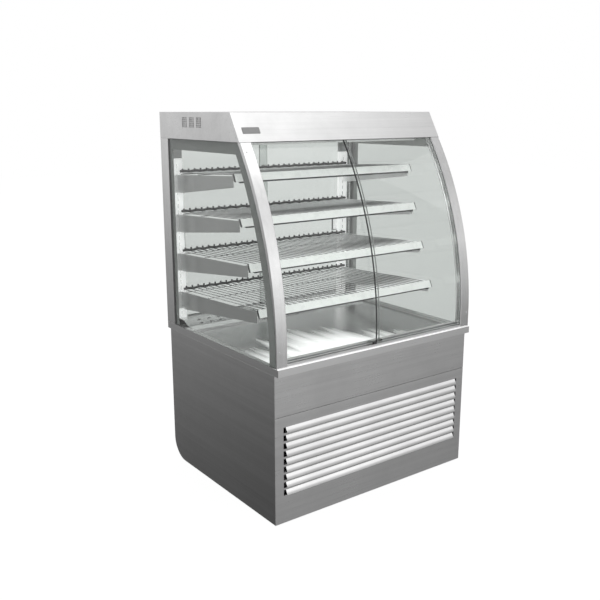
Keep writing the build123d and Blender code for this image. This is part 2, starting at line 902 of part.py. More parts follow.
def rear_pull(index):
    """Long finger pull, set through the pane and open to the back."""
    y0 = rear_pane_y(index)
    y1 = y0 + rear_door_thickness
    lip = 1.2
    cup = pull_block(index, 0, y0, y1) + pull_block(index, pull_rim, y1, y1 + lip)
    return cup - pull_block(index, -2.0, y0 + 1.5, y1 + lip + 1)


def shelf_rack(level):
    """Chromed wire shelf: wires from front to back between two flat cross bars, tilted back."""
    top = shelf_tops[level]
    y0 = ry(shelf_fronts[level]) + 5.0
    y1 = y0 + (ry(upright_front) - 8.0 - y0) / cos(radians(shelf_tilt))
    half = shelf_half - 1.0
    length = y1 - y0
    count = int(2 * (half - wire) / wire_pitch) + 1
    start = -(count - 1) / 2 * wire_pitch
    front, rear = rod_lines(0, length)
    bars = [block(-half, half, y, y + wire, -bar_height, 0) for y in (front, rear)]
    wires = []
    for index in range(count):
        x = start + index * wire_pitch
        wires.append(block(x - wire / 2, x + wire / 2, front + wire, rear, -wire, 0))
    rack = bars[0].fuse(*bars[1:], *wires)
    return Pos(0, y0, top) * Rot(-shelf_tilt, 0, 0) * rack


def rod_lines(y0, y1):
    """Where the two cross bars lie, at the ends of a shelf's wires."""
    return [y0 + bar_inset, y1 - bar_inset - wire]


def bracket_top(level, y):
    """Height of the bracket's sloping edge, where the shelf's cross rods lie on it."""
    drop = bar_height / cos(radians(shelf_tilt)) + shelf_seat_gap
    back = y - ry(shelf_fronts[level]) - 5.0
    return shelf_tops[level] - drop - back * tan(radians(shelf_tilt))


def strip_bottom_y(level):
    """Front foot of the ticket strip, which leans back from there."""
    return ry(shelf_fronts[level]) - strip_lean


def shelf_bracket(level):
    """Tapered side plate with a folded rear flange and two hooks, left hand."""
    x = bracket_x()
    x0 = x - bracket_plate / 2
    x1 = x + bracket_plate / 2
    y_front = strip_bottom_y(level) + strip_return
    y_back = ry(upright_front)
    front_high = bracket_top(level, y_front)
    rear_high = bracket_top(level, y_back)
    rear_low = rear_high - bracket_rear_height
    points = [
        (y_front, front_high), (y_back, rear_high), (y_back, rear_low),
        (y_back - 2 * bracket_clip, rear_low), (y_front, front_high - bracket_front_height),
    ]
    plate = polygon_prism(points, x0, x1)
    flange = block(x0 - bracket_flange, x0, y_back - bracket_plate, y_back, rear_low, rear_high)
    corner = Pos(x0 - bracket_flange, y_back - bracket_plate / 2, rear_high) * Rot(0, 45, 0) * Box(
        bracket_clip, 2 * bracket_plate, bracket_clip)
    bracket = plate + (flange - corner)
    for z in hook_heights(level):
        bracket += block(x0, x1, y_back - 1, y_back + hook_reach, z, z + hook_height)
    return bracket


def hook_heights(level):
    """The two slots of the channel that this bracket hangs in."""
    rear_low = bracket_top(level, ry(upright_front)) - bracket_rear_height
    first = int((rear_low + 3.0 - slot_first_z) / slot_pitch) + 1
    z = slot_first_z + first * slot_pitch
    return [z + fit_gap, z + slot_pitch + fit_gap]


def shelf_brackets(level):
    """Left and right bracket of one shelf."""
    left = shelf_bracket(level)
    return Compound(children=[left, mirrored(left)])


def ticket_strip(level):
    """Leaning price strip along the shelf's front, with a return under it and dark ends."""
    y0 = strip_bottom_y(level)
    z1 = shelf_tops[level]
    z0 = z1 - strip_height
    t = strip_thickness
    half = shelf_half
    outline = [
        (y0, z0), (y0 + strip_lean, z1), (y0 + strip_lean + t, z1),
        (y0 + t * 1.1, z0 + 2.0), (y0 + strip_return, z0 + 2.0), (y0 + strip_return, z0),
    ]
    return polygon_prism(outline, -half, half)


def strip_end_caps(level):
    """Dark end caps that close the ticket strip."""
    y0 = strip_bottom_y(level)
    z1 = shelf_tops[level]
    z0 = z1 - strip_height
    outline = [
        (y0 - 0.5, z0 - 1.0), (y0 + strip_lean - 0.5, z1 + 0.5), (y0 + strip_lean + 4.0, z1 + 0.5),
        (y0 + 6.0, z0 - 1.0),
    ]
    left = polygon_prism(outline, -shelf_half - strip_end_cap, -shelf_half)
    return Compound(children=[left, mirrored(left)])


def shelf_lamp(level):
    """Slim lamp under the ticket strip, with its plug at the right end."""
    y0 = strip_bottom_y(level) + 3.0
    z1 = shelf_tops[level] - strip_height
    z0 = z1 - shelf_lamp_height
    half = shelf_half - shelf_lamp_inset
    lamp = block(-half, half, y0, y0 + shelf_lamp_depth, z0, z1)
    lamp = chamfer(lamp.edges().filter_by(Axis.X).group_by(Axis.Z)[0], 2.0)
    middle = y0 + shelf_lamp_depth / 2
    plug = block(half - 1.0, half + connector_length, middle - connector_size / 2,
                 middle + connector_size / 2, z1 - connector_size, z1)
    return lamp + plug


def hood_lamp():
    """Lamp tray under the hood."""
    y0 = ry(lamp_front)
    z1 = glass_top_z
    return block(-lamp_width / 2, lamp_width / 2, y0, y0 + lamp_depth, z1 - lamp_height, z1)


def hood_lamp_lens():
    """Rounded diffuser that covers the hood lamp."""
    y0 = ry(lamp_front) + 2.0
    z1 = glass_top_z - lamp_height
    half = lamp_width / 2 - 4.0
    lens = block(-half, half, y0, y0 + lamp_depth - 4.0, z1 - lamp_lens_height, z1)
    return fillet(lens.edges().filter_by(Axis.X).group_by(Axis.Z)[0], 3.0)


def lamp_driver():
    """Power pack of the lamps, standing in the hood beside the vents."""
    z0 = glass_top_z + sheet
    y = ry(vent_middle)
    half = driver_width / 2
    x0 = driver_margin - side_x
    return block(x0, x0 + driver_length, y - half, y + half, z0, z0 + driver_height)


def finned_coil(x0, x1, y0, y1, z0, z1, pitch, end):
    """A finned coil: upright fins between two end plates, on two flat tubes."""
    solids = [block(x, x + end, y0, y1, z0, z1) for x in (x0, x1 - end)]
    count = int((x1 - x0 - pitch) / pitch)
    start = (x0 + x1) / 2 - (count - 1) / 2 * pitch
    for index in range(count):
        x = start + index * pitch
        solids.append(block(x - fin_thickness / 2, x + fin_thickness / 2, y0, y1 - 6.0,
                            z0 + 4.0, z1 - 4.0))
    for share in (0.25, 0.75):
        z = z0 + share * (z1 - z0)
        solids.append(block(x0, x1, y1 - 6.0, y1 - 1.0, z - tube_radius, z + tube_radius))
    return solids[0].fuse(*solids[1:])


def evaporator_coil():
    """Finned coil that cools the air under the deck."""
    z0 = well_bottom_z + well_floor
    y0 = ry(evaporator_front)
    half = evaporator_width / 2
    return finned_coil(-half, half, y0, y0 + evaporator_depth, z0, z0 + evaporator_height,
                       fin_pitch, 2.0)


def fan_rotor(radius, depth, blades, hub_radius, x, y0, z):
    """Axial rotor turning about Y: a hub with pitched blades and a bore for its shaft."""
    rotor = facet_rod_y(hub_radius, 20, x, z, y0, y0 + depth)
    root = hub_radius - 3.0
    blade = Box(radius - root, 1.5, depth, align=(Align.MIN, Align.CENTER, Align.CENTER))
    blade = Pos(root, 0, 0) * Rot(32, 0, 0) * blade
    for index in range(blades):
        turned = Rot(0, 0, index * 360.0 / blades) * blade
        rotor += Pos(x, y0 + depth / 2, z) * Rot(90, 0, 0) * turned
    return rotor - rod_y(shaft_radius + shaft_clearance, x, z, y0 - 1, y0 + depth + 1)


def small_fan_place(index):
    """Axis of one of the two air fans in front of the evaporator."""
    x = (-1 if index == 0 else 1) * small_fan_spread
    return x, ry(evaporator_front) - 40.0, well_bottom_z + well_floor + small_fan_frame / 2


def evaporator_fan_frame(index):
    """Square fan housing with a round duct, a three-armed spider and the motor's shaft."""
    x, y, z = small_fan_place(index)
    half = small_fan_frame / 2
    depth = small_fan_depth + 8.0
    frame = block(x - half, x + half, y, y + depth, z - half, z + half)
    frame -= facet_rod_y(small_fan_radius + fan_tip_gap, 24, x, z, y - 1, y + depth + 1)
    arm_y0 = y + depth - 3.0
    for angle in (90, 210, 330):
        arm = Box(small_fan_radius + fan_tip_gap + 1, 3.0, 6.0,
                  align=(Align.MIN, Align.CENTER, Align.CENTER))
        frame += Pos(x, arm_y0 + 1.5, z) * Rot(0, angle, 0) * arm
    frame += facet_rod_y(14.0, 12, x, z, arm_y0, y + depth)
    return frame + rod_y(shaft_radius, x, z, y + 2.0, arm_y0)


def evaporator_fan_rotor(index):
    """Rotor of an air fan, on the housing's shaft."""
    x, y, z = small_fan_place(index)
    gap = 0.5
    depth = small_fan_depth + 8.0 - 3.0 - 2 * gap
    return fan_rotor(small_fan_radius, depth, 5, 13.0, x, y + gap, z)


def condenser_coil():
    """Finned condenser behind the louvres, in its end plates."""
    z0 = skirt_gap + sheet
    y0 = ry(condenser_front)
    half = condenser_width / 2
    return finned_coil(condenser_x - half, condenser_x + half, y0, y0 + condenser_depth,
                       z0, z0 + condenser_height, condenser_fin_pitch, 3.0)


def condenser_axis():
    """X and Z of the condenser fan's axis."""
    return condenser_x, skirt_gap + sheet + condenser_height / 2


def fan_shroud():
    """Deep square shroud that draws the air through the condenser."""
    x, z = condenser_axis()
    y0 = ry(condenser_front) + condenser_depth
    half_x = condenser_width / 2
    z0 = skirt_gap + sheet
    shroud = block(x - half_x, x + half_x, y0, y0 + shroud_depth, z0, z0 + condenser_height)
    shroud -= block(x - half_x + 3.0, x + half_x - 3.0, y0 - 1, y0 + shroud_depth - 12.0,
                    z0 + 3.0, z0 + condenser_height - 3.0)
    return shroud - rod_y(big_fan_radius + fan_tip_gap, x, z, y0, y0 + shroud_depth + 1)


def fan_motor():
    """Motor behind the shroud, on a bracket that stands on the floor pan, with its shaft."""
    x, z = condenser_axis()
    y0 = ry(condenser_front) + condenser_depth + shroud_depth + motor_gap
    motor = facet_rod_y(motor_radius, 24, x, z, y0, y0 + motor_length)
    motor += rod_y(shaft_radius, x, z, y0 - big_fan_depth, y0)
    foot_z = skirt_gap + sheet
    leg = y0 + motor_leg_start
    foot = y0 + motor_foot_start
    motor += block(x - motor_leg_half, x + motor_leg_half, leg, leg + motor_leg, foot_z, z)
    return motor + block(x - motor_foot_half, x + motor_foot_half, foot,
                         foot + motor_foot_length, foot_z, foot_z + motor_foot)


def condenser_fan_rotor():
    """Rotor of the condenser fan, in the shroud's ring."""
    x, z = condenser_axis()
    y0 = ry(condenser_front) + condenser_depth + shroud_depth + motor_gap
    gap = 0.5
    return fan_rotor(big_fan_radius, big_fan_depth - 2 * gap, 5, 24.0, x,
                     y0 - big_fan_depth + gap, z)


def compressor():
    """Welded compressor pot on its bolted base plate."""
    z0 = skirt_gap + sheet
    x = compressor_x
    y = ry(compressor_y)
    plate = block(x - compressor_plate_x, x + compressor_plate_x, y - compressor_plate_y,
                  y + compressor_plate_y, z0, z0 + compressor_plate)
    lower = z0 + compressor_lift
    pot = facet_rod_z(compressor_radius, 24, x, y, lower, lower + compressor_height)
    pot = chamfer(pot.faces().sort_by(Axis.Z)[-1].edges(), compressor_round)
    pot = chamfer(pot.faces().sort_by(Axis.Z)[0].edges(), compressor_round)
    seam_z = lower + compressor_seam_z
    seam = facet_rod_z(compressor_radius + compressor_seam_out, 24, x, y, seam_z,
                       seam_z + compressor_seam)
    body = plate + pot + seam
    for dx in (-compressor_foot_x, compressor_foot_x):
        for dy in (-compressor_foot_y, compressor_foot_y):
            body += facet_rod_z(compressor_foot, 8, x + dx, y + dy, z0 + compressor_plate,
                                lower + compressor_plate + 2.0)
    return body + block(x - compressor_ear_x, x + compressor_ear_x, y - compressor_ear_y,
                        y + compressor_ear_y, lower + compressor_plate,
                        lower + 2 * compressor_plate)


def drain_pan():
    """Open pan that catches the melt water."""
    z0 = skirt_gap + sheet
    y0 = ry(pan_y)
    wall = pan_wall
    pan = block(pan_x, pan_x + pan_length, y0, y0 + pan_width, z0, z0 + pan_height)
    pan = chamfer(pan.edges().filter_by(Axis.Z), pan_round)
    hollow = block(pan_x + wall, pan_x + pan_length - wall, y0 + wall, y0 + pan_width - wall,
                   z0 + wall, z0 + pan_height + 1)
    return pan - chamfer(hollow.edges().filter_by(Axis.Z), pan_round - wall / 2)


def filter_drier():
    """Copper filter drier on top of the compressor's pipe, up to the well."""
    y = ry(compressor_y)
    z0 = skirt_gap + sheet + compressor_lift + compressor_height
    x = compressor_x
    body = facet_rod_z(pipe_radius, 12, x, y, z0, well_bottom_z)
    can = facet_rod_z(drier_radius, 12, x, y, z0 + drier_start, z0 + drier_start + drier_length)
    return body + chamfer(can.faces().sort_by(Axis.Z)[-1].edges(), drier_round)


def control_hole():
    """Cut-out in the rear sheet for the controller."""
    half = control_width / 2
    return block(control_x - half, control_x + half, back_y - 3 * sheet, back_y + sheet,
                 control_z - control_height / 2, control_z + control_height / 2)


def button_places():
    """X of each controller key."""
    return [control_x + 8.0 + (index - 0.5) * button_pitch for index in (0, 1)]


def controller_housing():
    """Digital controller: a body through the rear sheet with a bezel outside it."""
    half = control_width / 2 - fit_gap
    tall = control_height / 2 - fit_gap
    body = block(control_x - half, control_x + half, back_y - control_depth, back_y,
                 control_z - tall, control_z + tall)
    bezel = block(control_x - half - 4.0, control_x + half + 4.0, back_y, back_y + bezel_depth,
                  control_z - tall - 4.0, control_z + tall + 4.0)
    body += fillet(bezel.edges().filter_by(Axis.Y), 3.0)
    body -= block(control_x - half + 6.0, control_x - 8.0, back_y + 1.5, back_y + bezel_depth + 1,
                  control_z - 10.0, control_z + 10.0)
    for x in button_places():
        body -= rod_y(button_radius + 0.3, x, control_z, back_y - 6.0, back_y + bezel_depth + 1)
    return body


def controller_display():
    """Dark window over the digits."""
    half = control_width / 2 - fit_gap
    return block(control_x - half + 6.2, control_x - 8.2, back_y + 1.5, back_y + bezel_depth,
                 control_z - 9.8, control_z + 9.8)


def controller_button(index):
    """Round key of the controller, free to travel into its hole."""
    x = button_places()[index]
    y0 = back_y - 6.0 + button_travel + fit_gap
    return rod_y(button_radius, x, control_z, y0, back_y + bezel_depth + 1.0)


def switch_centre(index):
    """X of one of the two rocker switches."""
    return switch_x + index * switch_pitch


def switch_hole(index):
    """Cut-out in the rear sheet for a rocker switch."""
    x = switch_centre(index)
    half = rocker_width / 2 + 2.5
    tall = rocker_height / 2 + 3.5
    return block(x - half, x + half, back_y - 3 * sheet, back_y + sheet,
                 control_z - tall, control_z + tall)


def switch_frame(index):
    """Frame of a rocker switch, clipped in the rear sheet, with the rocker's pivot pin."""
    x = switch_centre(index)
    half = rocker_width / 2 + 2.5 - fit_gap
    tall = rocker_height / 2 + 3.5 - fit_gap
    frame = block(x - half, x + half, back_y - 20.0, back_y, control_z - tall, control_z + tall)
    frame += block(x - half - 2.5, x + half + 2.5, back_y, back_y + 2.0,
                   control_z - tall - 2.5, control_z + tall + 2.5)
    frame -= block(x - rocker_width / 2 - fit_gap, x + rocker_width / 2 + fit_gap, back_y - 15.0,
                   back_y + 3.0, control_z - rocker_height / 2 - 1.6,
                   control_z + rocker_height / 2 + 1.6)
    pin = Pos(x - half + 1.0, back_y - rocker_pivot_depth, control_z) * Rot(0, 90, 0) * Cylinder(
        1.5, 2 * half - 2.0, align=(Align.CENTER, Align.CENTER, Align.MIN))
    return frame + pin


def switch_rocker(index):
    """Rocker with a shallow V face, turning on the frame's pin."""
    x = switch_centre(index)
    y = back_y - rocker_pivot_depth
    z = control_z
    h = rocker_height / 2
    points = [
        (y - 3.0, z - 6.0), (y + 6.0, z - h), (y + 8.0, z - h), (y + 5.5, z),
        (y + 8.0, z + h), (y + 6.0, z + h), (y - 3.0, z + 6.0),
    ]
    body = polygon_prism(points, x - rocker_width / 2, x + rocker_width / 2)
    bore = Pos(x - rocker_width, y, z) * Rot(0, 90, 0) * Cylinder(
        1.5 + shaft_clearance, 2 * rocker_width, align=(Align.CENTER, Align.CENTER, Align.MIN))
    return body - bore


def cable_gland():
    """Mains gland in the rear sheet: a six-sided collar with an empty round bore."""
    bore = rod_y(gland_bore, gland_x, gland_z, back_y - gland_length, back_y + gland_length)
    place = Pos(gland_x, gland_z, 0)
    stem = extrude(Plane.XZ.offset(-back_y) * place * RegularPolygon(gland_radius - gland_step, 6),
                   gland_length)
    collar = extrude(Plane.XZ.offset(-back_y) * place * RegularPolygon(gland_radius, 6),
                     -gland_collar)
    return stem + collar - bore


def pair(left):
    """A left-hand piece and its mirrored twin, as two solids."""
    return Compound(children=[left, mirrored(left)])


def each_level(make):
    """One solid, or one pair, for every shelf."""
    solids = []
    for level in range(len(shelf_tops)):
        solids.extend(make(level).solids())
    return Compound(children=solids)


def build_all():
    """Every sub-part by its node name."""
    parts = {
        "base_side_left": base_side_left(),
        "base_side_right": mirrored(base_side_left()),
        "base_back": base_back(),
        "base_floor": base_floor(),
        "levelling_feet": levelling_feet(),
        "front_upper_panel": front_upper_panel(),
        "louvre_panel": louvre_panel(),
        "worktop_rim": worktop_rim(),
        "insulated_well": insulated_well(),
        "deck_floor": deck_floor(),
        "rear_duct_cover": rear_duct_cover(),
        "end_frame_left": end_frame_left(),
        "end_frame_right": mirrored(end_frame_left()),
        "side_glass": pair(side_glass_left()),
        "side_borders": pair(side_border_left()),
        "rear_posts": pair(rear_post_left()),
        "uprights": pair(upright_left()),
        "upright_heads": pair(upright_head_left()),
        "hood_shell": hood_shell(),
        "hood_underside": hood_underside(),
        "hood_lamp": hood_lamp(),
        "hood_lamp_lens": hood_lamp_lens(),
        "lamp_driver": lamp_driver(),
        "front_track_bottom": front_track_bottom(),
        "front_track_top": front_track_top(),
        "front_door_left": front_door_left(),
        "front_door_right": front_door_right(),
        "front_door_clip_left": front_door_clip_left(),
        "front_door_clip_right": front_door_clip_right(),
        "rear_track_bottom": rear_track_bottom(),
        "rear_track_top": rear_track_top(),
        "rear_door_left": rear_door(0),
        "rear_door_right": rear_door(1),
        "rear_pull_left": rear_pull(0),
        "rear_pull_right": rear_pull(1),
        "shelf_brackets": each_level(shelf_brackets),
        "ticket_strips": each_level(ticket_strip),
        "strip_end_caps": each_level(strip_end_caps),
        "shelf_lamps": each_level(shelf_lamp),
        "evaporator_coil": evaporator_coil(),
        "evaporator_fan_frames": Compound(children=[evaporator_fan_frame(i) for i in (0, 1)]),
        "evaporator_fan_left": evaporator_fan_rotor(0),
        "evaporator_fan_right": evaporator_fan_rotor(1),
        "condenser_coil": condenser_coil(),
        "fan_shroud": fan_shroud(),
        "fan_motor": fan_motor(),
        "condenser_fan": condenser_fan_rotor(),
        "compressor": compressor() + filter_drier(),
        "drain_pan": drain_pan(),
        "controller_housing": Compound(children=[controller_housing(), controller_display()]),
        "controller_key_left": controller_button(0),
        "controller_key_right": controller_button(1),
        "switch_frames": Compound(children=[switch_frame(i) for i in (0, 1)]),
        "power_rocker": switch_rocker(0),
        "light_rocker": switch_rocker(1),
        "cable_gland": cable_gland(),
    }
    for level in range(len(shelf_tops)):
        parts["shelf_rack_%d" % (level + 1)] = shelf_rack(level)
    return parts


def save(parts):
    """One file for each sub-part."""
    os.makedirs("parts", exist_ok=True)
    for name, solid in parts.items():
        export_step(solid, "parts/" + name + ".step")


save(build_all())
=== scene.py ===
import json
import math
import bmesh
import bpy
from mathutils import Matrix, Vector


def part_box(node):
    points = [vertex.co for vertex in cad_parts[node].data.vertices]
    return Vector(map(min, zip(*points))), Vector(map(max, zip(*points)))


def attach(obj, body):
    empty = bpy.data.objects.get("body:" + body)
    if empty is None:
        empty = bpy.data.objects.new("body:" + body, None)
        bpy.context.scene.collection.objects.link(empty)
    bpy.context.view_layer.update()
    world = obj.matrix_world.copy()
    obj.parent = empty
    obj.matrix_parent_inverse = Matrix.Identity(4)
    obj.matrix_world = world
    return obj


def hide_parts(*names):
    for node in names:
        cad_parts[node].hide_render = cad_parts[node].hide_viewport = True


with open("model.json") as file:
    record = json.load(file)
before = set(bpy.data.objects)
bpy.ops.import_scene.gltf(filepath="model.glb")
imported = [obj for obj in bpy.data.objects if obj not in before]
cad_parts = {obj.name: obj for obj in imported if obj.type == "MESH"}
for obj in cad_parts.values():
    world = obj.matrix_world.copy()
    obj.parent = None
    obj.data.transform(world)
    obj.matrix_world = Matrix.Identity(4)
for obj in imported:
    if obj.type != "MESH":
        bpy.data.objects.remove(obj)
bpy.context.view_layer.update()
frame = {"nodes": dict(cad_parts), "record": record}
nodes = frame["nodes"]
scene = bpy.context.scene

# Sizes and places in metres, the same as those of the solids
OVERALL_HEIGHT = 1.350
HOOD_HEIGHT = 0.093
HOOD_LEAN = 0.0543
GLASS_TOP = OVERALL_HEIGHT - HOOD_HEIGHT
RIM_TOP = 0.555
FRONT_Y = -0.3545
SIDE_X = 0.4445
FRAME_WIDTH = 0.040
FRAME_INNER = SIDE_X - FRAME_WIDTH
CURVE_RADIUS = 1.209
CURVE_START = 0.6
CURVE_FACE_OFFSET = 0.0136
CURVE_CENTRE_Y = FRONT_Y - CURVE_FACE_OFFSET + CURVE_RADIUS
SHELF_TILT = math.radians(2.9)
SHELF_COUNT = 4
WIRE_PITCH = 0.0255
VENT_MIDDLE_Y = FRONT_Y + 0.4870
VENT_MIDDLE_Z = OVERALL_HEIGHT - 0.035
VENT_GROUP_PITCH = 0.050
LOUVRE_TOP = 0.3460
LOUVRE_PITCH = 0.0279

WHITE = (1.0, 1.0, 1.0)


def curve_point(z):
    """Where the front curve stands at this height, in the middle of the case."""
    rise = max(z - CURVE_START, 0.0)
    return Vector((0, CURVE_CENTRE_Y - math.sqrt(CURVE_RADIUS ** 2 - rise ** 2), z))


def curve_normal(z):
    """Which way the front curve faces at this height."""
    rise = max(z - CURVE_START, 0.0)
    forward = math.sqrt(CURVE_RADIUS ** 2 - rise ** 2)
    return Vector((0, -forward / CURVE_RADIUS, rise / CURVE_RADIUS))


# Camera, solved from the straight edges in the photo
CAMERA_PLACE = (-1.7956, -2.3163, 1.3589)
CAMERA_TILT = math.radians(76.371)
CAMERA_TURN = math.radians(-36.517)

camera_data = bpy.data.cameras.new("camera")
camera = bpy.data.objects.new("camera", camera_data)
scene.collection.objects.link(camera)
camera.location = CAMERA_PLACE
camera.rotation_euler = (CAMERA_TILT, 0, CAMERA_TURN)
camera_data.lens = 47.18
camera_data.sensor_width = 36
camera_data.clip_end = 60
scene.camera = camera
scene.view_settings.view_transform = "Standard"


# Node helpers
class Tree:
    def __init__(self, tree):
        self.tree = tree

    def node(self, kind, inputs=None, **settings):
        made = self.tree.nodes.new(kind)
        for key, value in settings.items():
            setattr(made, key, value)
        for key, value in (inputs or {}).items():
            self.put(made.inputs[key], value)
        return made

    def put(self, socket, value):
        if isinstance(value, bpy.types.NodeSocket):
            self.tree.links.new(value, socket)
        elif socket.type == "RGBA":
            socket.default_value = (*value, 1.0)
        else:
            socket.default_value = value

    def math(self, operation, a, b=0.0):
        return self.node("ShaderNodeMath", {0: a, 1: b}, operation=operation).outputs[0]

    def ranged(self, value, low, high, to_low, to_high, kind="LINEAR"):
        limits = {"From Min": low, "From Max": high, "To Min": to_low, "To Max": to_high}
        made = self.node("ShaderNodeMapRange", {"Value": value, **limits}, interpolation_type=kind)
        return made.outputs["Result"]

    def place(self):
        return self.node("ShaderNodeTexCoord").outputs["Object"]

    def facing(self, kind="True Normal"):
        return self.split(self.node("ShaderNodeNewGeometry").outputs[kind])

    def split(self, vector):
        return self.node("ShaderNodeSeparateXYZ", {0: vector}).outputs

    def stretched(self, scale):
        return self.node("ShaderNodeMapping", {"Vector": self.place(), "Scale": scale}).outputs[0]

    def noise(self, vector, scale, detail, rough):
        made = self.node("ShaderNodeTexNoise", {
            "Vector": vector, "Scale": scale, "Detail": detail, "Roughness": rough})
        return made.outputs["Fac"]

    def mixed(self, fac, first, second, blend="MIX"):
        made = self.node("ShaderNodeMix", {"Factor": fac}, data_type="RGBA", blend_type=blend)
        self.put(made.inputs[6], first)
        self.put(made.inputs[7], second)
        return made.outputs[2]

    def multiplied(self, first, second):
        return self.mixed(1.0, first, second, "MULTIPLY")

    def grey(self, level):
        return self.node("ShaderNodeCombineColor", {0: level, 1: level, 2: level}).outputs[0]

    def bump(self, height, strength, distance, normal=None):
        made = self.node("ShaderNodeBump", {
            "Height": height, "Strength": strength, "Distance": distance})
        if normal is not None:
            self.put(made.inputs["Normal"], normal)
        return made.outputs[0]

    def rounded(self, radius):
        return self.node("ShaderNodeBevel", {"Radius": radius}, samples=4).outputs[0]


def start_material(name):
    made = bpy.data.materials.new(name)
    made.use_nodes = True
    tree = Tree(made.node_tree)
    shader = made.node_tree.nodes["Principled BSDF"]
    return made, tree, shader


def tone(value, tint=WHITE):
    return tuple(value * t for t in tint)


# Grain of brushed sheet: how fast it changes along and across the brushing
ALONG = 3
ACROSS = 900
GRAIN = {"x": (ALONG, ACROSS, ACROSS), "y": (ACROSS, ALONG, ACROSS), "z": (ACROSS, ACROSS, ALONG)}


def steel(name, value, rough, along="x", streak=0.10, cloud=0.10, bump=0.05, edge=0.0012,
          gradient=None):
    """Brushed stainless: fine grain one way, broad handling marks, soft folded edges."""
    made, t, shader = start_material(name)
    fine = t.noise(t.stretched(GRAIN[along]), scale=1.0, detail=4.0, rough=0.65)
    coarse = tuple(g / 12 + 0.4 for g in GRAIN[along])
    wide = t.noise(t.stretched(coarse), scale=1.0, detail=3.0, rough=0.6)
    smudge = t.noise(t.place(), scale=5.5, detail=5.0, rough=0.62)
    marks = t.math("ADD", t.math("MULTIPLY", fine, 0.55), t.math("MULTIPLY", wide, 0.45))
    low = tone(value * (1 - streak))
    high = tone(min(value * (1 + streak * 0.6), 1))
    brushed = t.mixed(t.ranged(marks, 0.3, 0.7, 0, 1), low, high)
    dull = t.mixed(t.ranged(smudge, 0.35, 0.7, 0, 1), WHITE, tone(1 - cloud))
    colour = t.multiplied(brushed, dull)
    # Painted light and shade: where a brightness by place is given, the colour is scaled by it
    if gradient:
        colour = t.multiplied(colour, t.grey(gradient(t)))
    t.put(shader.inputs["Base Color"], colour)
    shader.inputs["Metallic"].default_value = 1.0
    spread = t.math("ADD", t.math("MULTIPLY", marks, 0.16), t.math("MULTIPLY", smudge, 0.14))
    t.put(shader.inputs["Roughness"], t.math("ADD", spread, rough - 0.15))
    t.put(shader.inputs["Normal"], t.bump(marks, bump, 0.0004, t.rounded(edge)))
    shader.inputs["Anisotropic"].default_value = 0.35
    return made


def bright_right(t):
    """Brackets: lit inner sides on the right, and feet that catch light by the uprights."""
    at = t.split(t.place())
    side = t.ranged(at[0], -0.1, 0.1, 1.0, 3.4)
    return t.math("MULTIPLY", side, t.ranged(at[1], 0.20, 0.30, 1.0, 2.0))


def paler_right(t):
    """Sheet that faces the bright half of the studio on the right-hand side."""
    return t.ranged(t.split(t.place())[0], -0.20, 0.30, 1.0, 1.9)


def louvre_painted_light(t):
    """Painted light and shade on each blade: brighter where a blade starts and darker towards its
    lip.
    """
    depth = t.math("SUBTRACT", LOUVRE_TOP, t.split(t.place())[2])
    share = t.math("FRACT", t.math("DIVIDE", depth, LOUVRE_PITCH))
    sloped = t.math("GREATER_THAN", t.facing()[2], 0.2)
    along = t.ranged(share, 0.22, 0.52, 1.30, 0.66, "SMOOTHSTEP")
    return t.ranged(sloped, 0.0, 1.0, 1.0, along)


def deck_sheet(name):
    """Polished well floor with a painted reflection: a bright patch that glows by itself at the
    front left, where it meets the light, and darker steel behind.
    """
    middle_x = -0.12
    full_y, end_y = -0.18, 0.06
    made, t, shader = start_material(name)
    at = t.split(t.place())
    fine = t.noise(t.stretched((700, 2, 700)), scale=1.0, detail=4.0, rough=0.6)
    broad = t.noise(t.stretched((26, 1.4, 26)), scale=1.0, detail=3.0, rough=0.55)
    cloud = t.noise(t.place(), scale=5.0, detail=4.0, rough=0.6)
    past_right = t.math("MAXIMUM", t.math("SUBTRACT", at[0], middle_x), 0.0)
    past_left = t.math("MAXIMUM", t.math("SUBTRACT", middle_x, at[0]), 0.0)
    sides = t.math("ADD", t.math("MULTIPLY", past_right, 0.75), t.math("MULTIPLY", past_left, 0.42))
    waver = t.math("MULTIPLY", t.math("SUBTRACT", broad, 0.5), 0.44)
    ragged = t.math("ADD", t.math("ADD", at[1], sides), waver)
    # Painted reflection: the mask of the bright patch, with a ragged edge
    lit = t.ranged(ragged, full_y, end_y, 1.0, 0.0, "SMOOTHSTEP")
    lines = t.ranged(fine, 0.3, 0.7, 0.90, 1.0)
    bright = t.grey(t.math("MULTIPLY", lines, t.ranged(cloud, 0.3, 0.7, 0.50, 0.58)))
    # Inside the painted reflection the sheet turns near white, less metallic and rougher, and glows
    # by itself
    t.put(shader.inputs["Base Color"], t.mixed(lit, bright, tone(0.96)))
    t.put(shader.inputs["Metallic"], t.math("SUBTRACT", 1.0, t.math("MULTIPLY", lit, 0.8)))
    t.put(shader.inputs["Roughness"], t.ranged(lit, 0.0, 1.0, 0.24, 0.5))
    t.put(shader.inputs["Emission Color"], WHITE)
    t.put(shader.inputs["Emission Strength"], t.math("MULTIPLY", lit, 0.62))
    t.put(shader.inputs["Normal"], t.bump(fine, 0.03, 0.0003))
    return made


